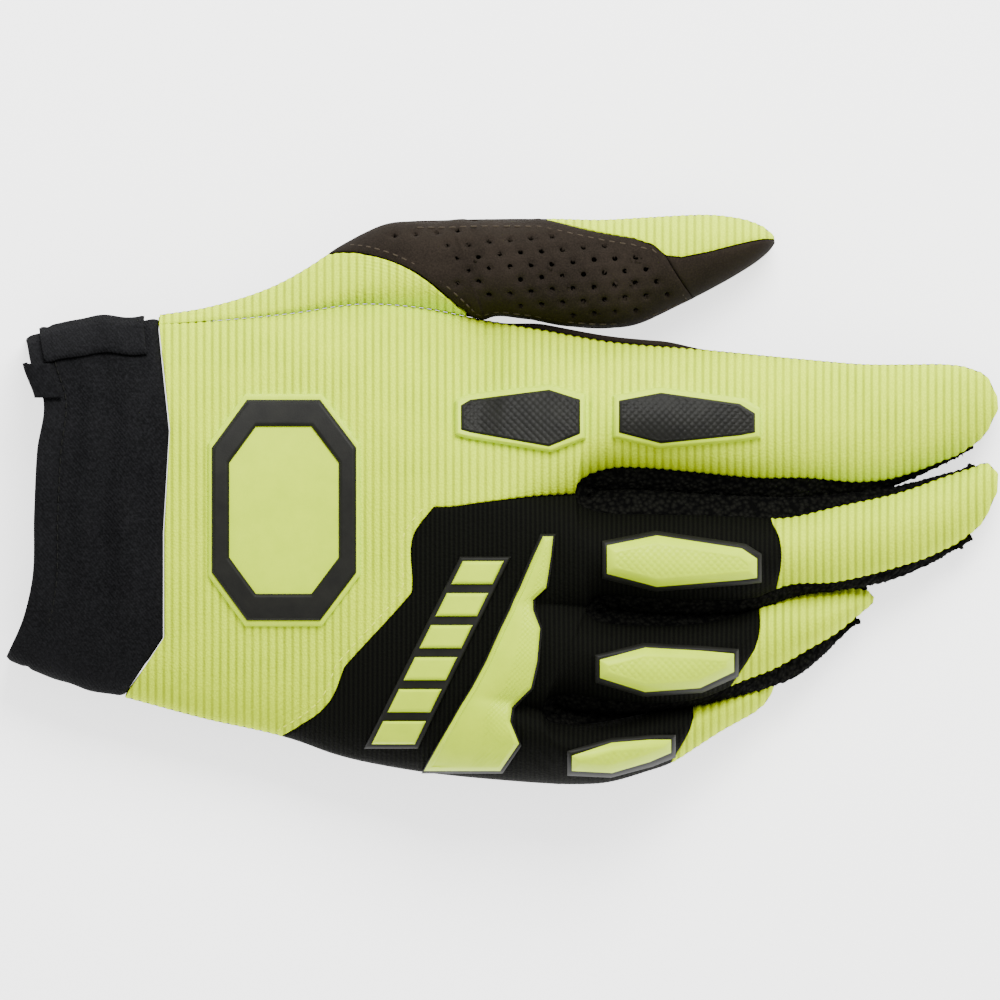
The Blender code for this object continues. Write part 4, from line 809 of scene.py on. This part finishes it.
u = evenStations(thumb, 0.992, 2.0, ribs["step"], 0)[:, None]
seam = thumbSeam(u) - glove["pieceGap"] / stripWidth(thumb, u)
grid = surface(thumb, u, seam * acrossSteps(20)[None, :], True)
thumbBack = clothSheet("thumbBack", [grid], yellowKnit, walls["knit"], ribRelief)
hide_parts("thumb_back")

v = acrossSteps(30)[None, :]
starts = smooth(patchEnd, v[0])[:, 0] + gap
bend = evenStations(thumb, float(starts.max()), 2.0, 0.0006)
rows = ((bend - bend[0]) / (2.0 - bend[0]))[:, None]
u = between(starts[None, :], 2.0, rows)
near = thumbSeam(u) + glove["pieceGap"] / stripWidth(thumb, u)
grid = surface(thumb, u, near + (1 - near) * v, True)
thumbTip = clothSheet("thumbTipPalm", [grid], brownSuede, walls["suede"])
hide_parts("thumb_tip_palm")

u = np.concatenate([np.linspace(0, 1, 100), evenStations(thumb, 1.0, 2.0, 0.0009)[1:]])[:, None]
grid = surface(thumb, u, trimmed(thumb, u, v, 0.0, nearThumb(u)), False)
thumbUnder = clothSheet("thumbUnderside", [grid], brownSuede, walls["suede"], under=True, roll=0.0002)
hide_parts("thumb_underside")


def lumps(spots, size, seed):
    # Smooth made-up unevenness: three slanted waves whose product stays within -1..1
    s = spots / size
    a = np.sin(1.7 * s[:, 0] + 2.3 * s[:, 1] + 0.9 * s[:, 2] + seed)
    b = np.sin(-2.1 * s[:, 0] + 1.3 * s[:, 1] + 1.9 * s[:, 2] + 2 * seed)
    c = np.sin(0.8 * s[:, 0] - 1.9 * s[:, 1] + 2.6 * s[:, 2] + 3 * seed)
    return (a * b + b * c + c * a) / 3


def pileRelief(spots, normals):
    return 0.00035 * lumps(spots, 0.00050, 1.0) + 0.00025 * lumps(spots, 0.0013, 2.0)


print("pile ribbons")
# A ribbon runs back along one finger's side, round the crotch and out along the next one's.
# Across, it bows into the slot by sin(pi w).
ribbon = dict(columns=16, step=0.0005, end=1.945, bulge=0.0058, tuck=0.0005, web=0.0045)
# Strip, name, CAD name, flat width, flat length, area
ribbonSheets = [(index, "pileIndexMiddle", "fourchette_index_middle", 0.018, 0.190, 0.0025),
                (middle, "pileMiddleRing", "fourchette_middle_ring", 0.016, 0.150, 0.0019),
                (ring, "pileRingLittle", "fourchette_ring_little", 0.016, 0.130, 0.0017)]
for strip, name, cadName, wide, long, area in ribbonSheets:
    w = np.linspace(0, 1, ribbon["columns"] + 1)
    sides = []
    for owner, side in ((strip, 1), (strip + 1, 0)):
        u = evenStations(owner, 1.0, ribbon["end"], ribbon["step"], side)
        plan = edgePlan(owner, side, u)
        top, under = edgeHeights(owner, side, u)
        top = top * glove["gloveHeight"] - 0.0003
        under = np.minimum(under * glove["gloveHeight"] + 0.0003, top - 0.0006)
        along = unit(np.gradient(plan, axis=0))
        turn = -1.0 if side else 1.0
        outward = np.stack([along[:, 1] * -turn, along[:, 0] * turn], axis=-1)
        other = edgePlan(strip + (0 if side == 0 else 1), 1 - side, u)
        room = np.abs(plan[:, 1] - other[:, 1])
        swell = np.clip(0.5 * room + 0.00035, 0.0002, ribbon["bulge"]) * (1 - 0.8 * ease(1.70, 1.93, u))
        # A web fills the crotch
        swell = np.maximum(swell, ribbon["web"] * (1 - ease(1.02, 1.08, u)))
        points = np.zeros((len(u), len(w), 3))
        # Both long edges tuck 0.5 mm in under the panels
        bow = swell[:, None] * np.sin(np.pi * w) - ribbon["tuck"] * (1 - np.sin(np.pi * w))
        points[..., :2] = plan[:, None, :] + bow[..., None] * outward[:, None]
        points[..., 2] = top[:, None] + (under - top)[:, None] * w[None, :]
        sides.append(points)
    band = np.concatenate([sides[0][::-1], sides[1][1:]])
    centreLine = (edgePlan(strip, 1, u) + edgePlan(strip + 1, 0, u)) / 2

    def towardSlot(spots):
        away = np.interp(spots[:, 0], centreLine[:, 0], centreLine[:, 1]) - spots[:, 1]
        return np.stack([np.zeros(len(spots)), away, np.zeros(len(spots))], axis=1)

    piece = clothSheet(name, [band], blackPile, walls["pile"], pileRelief, roll=0.0, outward=towardSlot)
    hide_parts(cadName)

print("cuff")
cuffSides = [(0.0, 0.162, -0.157), (0.3, 0.171, -0.172), (0.6, 0.178, -0.184),
             (0.85, 0.176, -0.192), (1.0, 0.180, -0.195)]
hemLine = [(-0.160, 0.004), (-0.120, 0.022), (-0.085, 0.031), (-0.012, 0.034), (0.049, 0.037),
           (0.100, 0.043), (0.130, 0.032), (0.165, 0.025)]
cuffShape = dict(rows=120, across=34, slim=16, height=0.90, folds=0.0007, wall=0.0018)


def wristLoop():
    # The section at the wrist seam: over the top from the thumb side, back underneath
    v = acrossSteps(cuffShape["across"])
    slim = np.linspace(0, 1, cuffShape["slim"])
    zero = np.zeros(1)
    parts = [surface(thumb, zero, slim, True)[:-1]]
    parts += [surface(strip, zero, v, True)[:-1] for strip in (index, middle, ring)]
    parts.append(surface(little, zero, v, True))
    parts += [surface(strip, zero, v[::-1], False)[:-1] for strip in (little, ring, middle, index)]
    parts.append(surface(thumb, zero, slim[::-1], False))
    return np.concatenate(parts)


def cuffSurface(rows, loop):
    # Each wrist point runs back to the hem, with the cuff's outline and height there
    low, high = loop[:, 1].min(), loop[:, 1].max()
    share = (loop[:, 1] - low) / (high - low)
    sides = smooth(cuffSides, rows) * acrossUnit
    wide = sides[:, 1:2] + (sides[:, 0:1] - sides[:, 1:2]) * share[None, :]
    tall = cuffShape["height"] + (1 - cuffShape["height"]) * ease(0, 1, rows)
    height = tall[:, None] * loop[None, :, 2]
    hem = smooth(hemLine, wide[0] / acrossUnit)[:, 0] * glove["gloveLength"] - glove["middleAlong"]
    end = loop[:, 0] - 0.0002
    along = hem[None, :] + (end - hem)[None, :] * rows[:, None]
    lift = height / max(loop[:, 2].max(), 1e-6)
    fold = np.sin(3.2 * 2 * np.pi * rows)[:, None] * np.sin(np.pi * rows)[:, None]
    height = np.maximum(height + cuffShape["folds"] * fold * lift, 0.0)
    return np.stack([along, wide, height], axis=-1)


def cuffRelief(spots, normals):
    # Soft creases that run across and lean a little, deepest towards the wrist
    wave = np.sin(spots[:, 0] * 620 + spots[:, 1] * 90 + 1.5 * np.sin(spots[:, 1] * 120))
    pull = 0.00022 * wave * ease(-0.110, -0.085, spots[:, 0])
    hem = -0.00035 * np.exp(-((spots[:, 0] - hemAt(spots[:, 1]) - 0.0052) / 0.0007) ** 2)
    return pull + hem + 0.00012 * lumps(spots, 0.004, 0.4)


def hemAt(y):
    return smooth(hemLine, y / acrossUnit)[:, 0] * glove["gloveLength"] - glove["middleAlong"]


loop = wristLoop()
cuffRows = np.linspace(0, 1, cuffShape["rows"] + 1)
cuffGrid = cuffSurface(cuffRows, loop)
closed = np.concatenate([cuffGrid, cuffGrid[:, :1]], axis=1)


def fromAxis(spots):
    return (spots - np.array([0.0, 0.0, 0.016])) * np.array([0.0, 1.0, 1.0])


cuff = clothSheet("cuffCloth", [closed], charcoal, cuffShape["wall"], cuffRelief, roll=0.0006,
                  rollWidth=0.0018, outward=fromAxis)
# The wall thins at the tight fold of the thumb side, so that it stays above the floor
cuffSpots = pointsOf(cuff.data)
folded = (cuffSpots[:, 1] > 0.033) & (cuffSpots[:, 2] < 0.012)
wallShare = cuff.vertex_groups.new(name="wallShare")
wallShare.add(np.flatnonzero(~folded).tolist(), 1.0, "REPLACE")
wallShare.add(np.flatnonzero(folded).tolist(), 0.15, "REPLACE")
cuff.modifiers["Wall"].vertex_group = "wallShare"
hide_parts("cuff")

# Flap: a second layer over the thumb side edge of the cuff, 0.4 mm clear of it
flapShape = dict(firstRow=13, lastRow=108, topColumns=27, clear=0.0004, wall=0.0012)
facing = unit(np.cross(np.gradient(cuffGrid, axis=0),
                       np.roll(cuffGrid, -1, axis=1) - np.roll(cuffGrid, 1, axis=1)))
facing = facing * np.sign(facing[60, 40, 2])
lap = list(range(flapShape["topColumns"]))
reach = flapShape["clear"] + flapShape["wall"]
flapGrid = (cuffGrid + facing * reach)[flapShape["firstRow"]:flapShape["lastRow"] + 1][:, lap]
flap = clothSheet("cuffFlap", [flapGrid], charcoal, flapShape["wall"], cuffRelief, roll=0.0005,
                  rollWidth=0.0012, outward=fromAxis)
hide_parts("cuff_flap")

# Tab: a short tape folded over the hem. Its path lies flat, rounds the edge and drops.
tabShape = dict(place=0.118, width=0.034, lap=0.0046, wall=0.0010)
tabPath = [(0.0, 0.0046, 0.0), (0.35, 0.0018, 0.0001), (0.60, -0.0006, 0.0), (0.75, -0.0016, -0.0006),
           (0.85, -0.0019, -0.0014), (1.0, -0.0017, -0.0030)]
y = (tabShape["place"] + np.linspace(-0.5, 0.5, 25) * tabShape["width"]) * acrossUnit
outer = cuffGrid[:, :100]
spot = np.abs(outer[:12, :, 1].mean(axis=0)[:, None] - y[None, :]).argmin(axis=0)
tabTop = outer[:12, spot, 2].max() + 0.0016
path = smooth(tabPath, np.linspace(0, 1, 25))
tabGrid = np.zeros((25, 25, 3))
tabGrid[..., 0] = hemAt(y)[None, :] + path[:, :1]
tabGrid[..., 1] = y[None, :]
tabGrid[..., 2] = tabTop + path[:, 1:2]
tab = clothSheet("cuffTab", [tabGrid], charcoal, tabShape["wall"], roll=0.0002, rollWidth=0.0006)
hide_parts("cuff_tab")

print("moulded pieces")
# The height of the cloth on a 0.5 mm plan grid, smoothed a little, to seat the pieces on
seatMap = dict(cell=0.0005, low=np.array([-0.118, -0.068]), shape=(474, 274))


def mapCloth():
    heights = np.zeros(seatMap["shape"])
    for strip in (index, middle, ring, little):
        u = np.linspace(0, 2, 1600)[:, None]
        v = np.linspace(0, 1, 240)[None, :]
        spots = surface(strip, u, v, True).reshape(-1, 3)
        cells = ((spots[:, :2] - seatMap["low"]) / seatMap["cell"] + 0.5).astype(int)
        np.maximum.at(heights, (cells[:, 0], cells[:, 1]), spots[:, 2])
    for _ in range(3):
        filled = (heights > 0).astype(float)
        for axis in (0, 1):
            heights = heights * 2 + np.roll(heights, 1, axis) + np.roll(heights, -1, axis)
            filled = filled * 2 + np.roll(filled, 1, axis) + np.roll(filled, -1, axis)
        heights = np.where(filled > 0, heights / np.maximum(filled, 1e-9), 0)
    return heights


clothMap = mapCloth()


def ground(plan):
    # Bilinear reading of the map
    at = (plan - seatMap["low"]) / seatMap["cell"]
    first = np.floor(at).astype(int)
    part = at - first
    i, j = first[..., 0], first[..., 1]
    s, t = part[..., 0], part[..., 1]
    return ((clothMap[i, j] * (1 - s) + clothMap[i + 1, j] * s) * (1 - t)
            + (clothMap[i, j + 1] * (1 - s) + clothMap[i + 1, j + 1] * s) * t)


def outlineGrid(rows, border, step=0.00028, turned=False):
    # Rows hold a place and the two edges there; the border moves every edge outward
    table = np.array(rows, dtype=float)
    count = [max(1, int(round(abs(b[0] - a[0]) * glove["gloveLength"] / step)))
             for a, b in zip(table[:-1], table[1:])]
    stops = np.concatenate([[0], np.cumsum(count)])
    fine = np.arange(stops[-1] + 1)
    table = np.stack([np.interp(fine, stops, table[:, k]) for k in range(3)], axis=1)
    long, wide = border / glove["gloveLength"], border / acrossUnit
    if turned:
        long, wide = wide, long
    middlePlace = (table[0, 0] + table[-1, 0]) / 2
    half = abs(table[-1, 0] - table[0, 0]) / 2
    place = middlePlace + (table[:, 0] - middlePlace) * (half + long) / half
    sense = np.sign(table[:, 1] - table[:, 2])
    first = table[:, 1] + sense * wide
    last = table[:, 2] - sense * wide
    widest = np.abs(first - last).max() * glove["gloveLength"]
    share = np.linspace(0, 1, max(4, int(widest / step)) + 1)
    other = first[:, None] + (last - first)[:, None] * share[None, :]
    place = np.broadcast_to(place[:, None], other.shape)
    if turned:
        return np.stack([other * glove["gloveLength"] - glove["middleAlong"], place * acrossUnit], axis=-1)
    return np.stack([place * glove["gloveLength"] - glove["middleAlong"], other * acrossUnit], axis=-1)


def edgeOf(plan):
    return np.concatenate([plan[0], plan[-1], plan[:, 0], plan[:, -1]])


def zigzag(s):
    return np.abs(2 * (s - np.floor(s)) - 1)


def diamonds(plan, pitch, depth, lean=1.0):
    # Grooves along both diagonals: -depth where either zigzag passes 0.7
    s = (plan[..., 0] + lean * plan[..., 1]) / pitch
    t = (plan[..., 0] - lean * plan[..., 1]) / pitch
    peak = np.maximum(zigzag(s), zigzag(t))
    return -depth * np.clip((peak - 0.62) / 0.34, 0, 1)


def slab(name, plan, material, lift, rise, bevel, pattern=None, ringed=False, foot=0.45):
    # Height over the cloth: lift + rise (foot + (1 - foot) min(d / bevel, 1)), d from the rim.
    # The rim drops straight to the cloth, and a flat underside closes the shell.
    if ringed:
        rim = np.concatenate([plan[:, 0], plan[:, -1]])
    else:
        rim = edgeOf(plan)
    distance = nearest(plan.reshape(-1, 2), rim).reshape(plan.shape[:2])
    slope = np.clip(distance / bevel, 0, 1)
    slope = slope + 0.12 * np.sin(np.pi * slope)
    height = ground(plan) + lift + rise * (foot + (1 - foot) * np.minimum(slope, 1))
    if pattern is not None:
        height = height + pattern(plan) * ease(bevel * 1.0, bevel * 1.25, distance)
    pad = ((0, 0), (1, 1), (0, 0)) if ringed else ((1, 1), (1, 1), (0, 0))
    wide = np.pad(plan, pad, mode="edge")
    low = ground(wide) + lift - 0.0005
    top = low.copy()
    if ringed:
        top[:, 1:-1] = height
    else:
        top[1:-1, 1:-1] = height
    upper = np.concatenate([wide, top[..., None]], axis=-1).reshape(-1, 3)
    lower = np.concatenate([wide, low[..., None]], axis=-1).reshape(-1, 3)
    rows, columns = wide.shape[:2]
    if ringed:
        faces = gridFaces(columns, rows, 0, True)
        order = np.arange(rows * columns).reshape(rows, columns).T.ravel()
        faces = order[faces]
    else:
        faces = gridFaces(rows, columns)
    mesh = meshFrom(name, np.concatenate([upper, lower]),
                    np.concatenate([faces, faces[:, ::-1] + rows * columns]))
    tidyMesh(mesh, outside=True)
    mesh.set_sharp_from_angle(angle=math.radians(38))
    return makeObject(name, mesh, material)


padRows = [
    ("indexRearPad", "index_rear_pad", True, [(0.460, 0.094, 0.069), (0.470, 0.100, 0.066),
                                              (0.549, 0.110, 0.052), (0.581, 0.100, 0.065)]),
    ("indexFrontPad", "index_front_pad", True, [(0.618, 0.099, 0.066), (0.661, 0.107, 0.055),
                                                (0.740, 0.096, 0.063), (0.756, 0.086, 0.066)]),
    ("middlePad", "middle_pad", False, [(0.607, -0.045, -0.073), (0.657, -0.035, -0.086),
                                        (0.742, -0.048, -0.079), (0.757, -0.058, -0.077)]),
    ("ringPad", "ring_pad", False, [(0.600, -0.158, -0.176), (0.645, -0.146, -0.190),
                                    (0.700, -0.149, -0.186), (0.734, -0.152, -0.170)]),
    ("littlePad", "little_pad", False, [(0.572, -0.253, -0.268), (0.612, -0.240, -0.270),
                                        (0.650, -0.237, -0.259), (0.671, -0.237, -0.250)])]
for name, cadName, dark, rows in padRows:
    rimMaterial = yellowRubber if dark else darkRubber
    fieldMaterial = darkRubber if dark else yellowRubber
    rimRise, fieldRise, bevel = (0.0020, 0.0026, 0.0008) if dark else (0.0012, 0.0030, 0.0019)
    rim = slab(name + "Rim", outlineGrid(rows, 0.0011), rimMaterial, 0.0002, rimRise, 0.0007)
    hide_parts(cadName)
    field = slab(name + "Field", outlineGrid(rows, 0.0), fieldMaterial, 0.0003, fieldRise, bevel,
                 lambda plan: diamonds(plan, 0.00172, 0.00022), foot=0.60)
    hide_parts(cadName + "_insert")

guardRows = [(-0.268, 0.424, 0.500), (-0.241, 0.439, 0.519), (-0.219, 0.452, 0.510),
             (-0.205, 0.460, 0.512), (-0.186, 0.472, 0.531), (-0.160, 0.486, 0.537),
             (-0.127, 0.501, 0.540), (-0.109, 0.510, 0.533), (-0.099, 0.514, 0.533),
             (-0.087, 0.520, 0.546), (-0.055, 0.534, 0.551), (-0.036, 0.543, 0.553)]
guardRim = outlineGrid(guardRows, 0.0006, turned=True)
guard = slab("knuckleGuardRim", guardRim, darkRubber, 0.0002, 0.0012, 0.0005)
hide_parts("knuckle_guard")


def guardPattern(plan):
    # Fine diamonds on the clawed side only; the rear side stays a smooth slope
    rows = np.array(guardRows)
    y = plan[..., 1] / acrossUnit
    rear = np.interp(y, rows[:, 0], rows[:, 1]) * glove["gloveLength"] - glove["middleAlong"]
    front = np.interp(y, rows[:, 0], rows[:, 2]) * glove["gloveLength"] - glove["middleAlong"]
    share = (plan[..., 0] - rear) / (front - rear)
    textured = ease(0.50, 0.58, share)
    return diamonds(plan, 0.00120, 0.00016) * textured - 0.0005 * (1 - ease(0.0, 0.52, share))


guardField = outlineGrid(guardRows, 0.0, turned=True)
guardTop = slab("knuckleGuardField", guardField, yellowRubber, 0.0003, 0.0031, 0.0009, guardPattern,
                foot=0.60)
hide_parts("knuckle_guard_insert")

badgeRows = [(0.208, 0.055, -0.075), (0.245, 0.105, -0.125), (0.322, 0.105, -0.125),
             (0.360, 0.055, -0.075)]
badgePlan = outlineGrid(badgeRows, 0.0)
badge = slab("badgeBase", badgePlan, yellowRubber, 0.0002, 0.0011, 0.0006)
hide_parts("badge")
border = np.concatenate([badgePlan[:, 0], badgePlan[-1, 1:], badgePlan[-2::-1, -1],
                         badgePlan[0, -2:0:-1]])
centre = (badgePlan.reshape(-1, 2).max(axis=0) + badgePlan.reshape(-1, 2).min(axis=0)) / 2
shares = np.linspace(0.95, 0.72, 22)
ringPlan = centre + (border - centre)[:, None, :] * shares[None, :, None]
badgeRing = slab("badgeRing", ringPlan, darkRubber, 0.0010, 0.0013, 0.0007, ringed=True, foot=0.5)
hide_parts("badge_ring")

# Plain slanted slats on a backing; share is the part of its stretch that a slat takes up
slatStrip = dict(rows=[(-0.246, 0.364, 0.418), (-0.056, 0.460, 0.511)], count=6, share=0.72, margin=0.10)
backing = outlineGrid(slatStrip["rows"], 0.0, turned=True)
strip = slab("slatBacking", backing, darkRubber, 0.0002, 0.0010, 0.0004)
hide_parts("slat_strip")
start, end = np.array(slatStrip["rows"])
for number in range(slatStrip["count"]):
    rows = []
    for share in ((number + (1 - slatStrip["share"]) / 2) / slatStrip["count"],
                  (number + (1 + slatStrip["share"]) / 2) / slatStrip["count"]):
        across, near, far = start + (end - start) * share
        side = (far - near) * slatStrip["margin"]
        rows.append((across, near + side, far - side))
    tilePlan = outlineGrid(rows, 0.0, turned=True)
    tile = slab("slat" + str(number + 1), tilePlan, yellowRubber, 0.0009, 0.0014, 0.0006)
    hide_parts("slat_" + str(number + 1))

print("stitches")


def stitchLine(name, path, material, length=0.0017, pitch=0.0025, radius=0.00021, lift=0.00005):
    # Capsules along a path of surface points. Along one, radius sqrt(1 - t^4) for t in -1..1.
    gone = np.concatenate([[0], np.cumsum(np.linalg.norm(np.diff(path, axis=0), axis=1))])
    spots = np.arange(pitch / 2, gone[-1] - pitch / 2, pitch)
    centre = np.stack([np.interp(spots, gone, path[:, k]) for k in range(3)], axis=1)
    ahead = np.stack([np.interp(spots + pitch / 2, gone, path[:, k]) for k in range(3)], axis=1)
    forward = unit(ahead - centre)
    sideways = unit(np.cross(np.array([[0.0, 0.0, 1.0]]), forward))
    upward = np.cross(forward, sideways)
    rings, sides = 9, 8
    t = np.linspace(-1, 1, rings)
    angle = np.arange(sides) * 2 * math.pi / sides
    wide = radius * np.sqrt(1 - t ** 4)
    along = np.broadcast_to((t * length / 2)[:, None], (rings, sides))
    over = wide[:, None] * np.cos(angle)[None, :]
    high = wide[:, None] * np.sin(angle)[None, :] - 0.00018 * (t ** 2)[:, None] + lift
    points = (centre[:, None, None, :] + along[None, ..., None] * forward[:, None, None, :]
              + over[None, ..., None] * sideways[:, None, None, :]
              + high[None, ..., None] * upward[:, None, None, :])
    faces = gridFaces(rings, sides, 0, True)
    faces = faces[None] + (np.arange(len(centre)) * rings * sides)[:, None, None]
    mesh = meshFrom(name, points.reshape(-1, 3), faces.reshape(-1, 4))
    tidyMesh(mesh, 1e-6)
    return makeObject(name, mesh, material)


inset = dict(rows=8, columns=10, outerColumn=14)
ends = slice(inset["columns"], 1 - inset["columns"])
inner = patchGrid[inset["rows"]:-inset["rows"]]
edge = np.concatenate([inner[0, ends], inner[:, -inset["columns"]], inner[-1, ends][::-1]])
stitchLine("patchStitches", edge, brownThread, lift=-0.00005)
outer = inner[:, inset["outerColumn"]]
stitchLine("patchSideStitches", outer[outer[:, 0] > -0.02], brownThread, lift=-0.00005)
# Border positions that the stitches run through on each strip
path = []
for strip, first, last in ((middle, 1.02, 1.999), (ring, 2.0, 2.999), (little, 3.0, 3.97)):
    part = np.linspace(first, last, 60)
    at = borderStation(part) - shifted(0.0017, index, 1.3)
    path.append(surface(strip, at, part - strip + 1, True))
stitchLine("borderStitches", np.concatenate(path), paleThread, pitch=0.0023, radius=0.00017)
hemRow = cuffGrid[22, 16:130]
stitchLine("hemStitches", hemRow[hemRow[:, 2] > 0.010], darkThread, pitch=0.0022, radius=0.00016,
           lift=0.0)

print("studio")
studio = dict(across=0.230, high=1.2, centre=(-0.00039, 0.0), skyStrength=1.15, keyPower=17.0,
              keySize=0.5, keyPlace=(0.15, 0.55, 0.75), floorGlow=1.8)
camera = bpy.data.objects.new("overheadCamera", bpy.data.cameras.new("overheadCamera"))
camera.data.type = "ORTHO"
camera.data.ortho_scale = studio["across"]
camera.location = (*studio["centre"], studio["high"])
bpy.context.scene.collection.objects.link(camera)
bpy.context.scene.camera = camera
corners = np.array([(-3, -3, 0), (3, -3, 0), (3, 3, 0), (-3, 3, 0)], dtype=float)
floor = bpy.data.objects.new("studioFloor", meshFrom("studioFloor", corners, np.array([[0, 1, 2, 3]])))
paper, paperTree, paperShader = plainMaterial("paleStudioFloor", "#FAFAFA", 0.9)
# The floor glows a little, as a light table does, so that it stays near white
paperShader.inputs["Emission Color"].default_value = linear("#FFFFFF")
paperShader.inputs["Emission Strength"].default_value = studio["floorGlow"]
floor.data.materials.append(paper)
bpy.context.scene.collection.objects.link(floor)
world = bpy.data.worlds.new("paleStudio")
world.use_nodes = True
world.node_tree.nodes["Background"].inputs["Color"].default_value = (1.0, 1.0, 1.0, 1.0)
world.node_tree.nodes["Background"].inputs["Strength"].default_value = studio["skyStrength"]
bpy.context.scene.world = world
# A wide soft key from the thumb side gives each rib, pad and seam a soft shade
lamp = bpy.data.objects.new("softKey", bpy.data.lights.new("softKey", "AREA"))
lamp.data.size = studio["keySize"]
lamp.data.energy = studio["keyPower"]
lamp.location = studio["keyPlace"]
lamp.rotation_euler = (-Vector(studio["keyPlace"])).to_track_quat("-Z", "Y").to_euler()
bpy.context.scene.collection.objects.link(lamp)
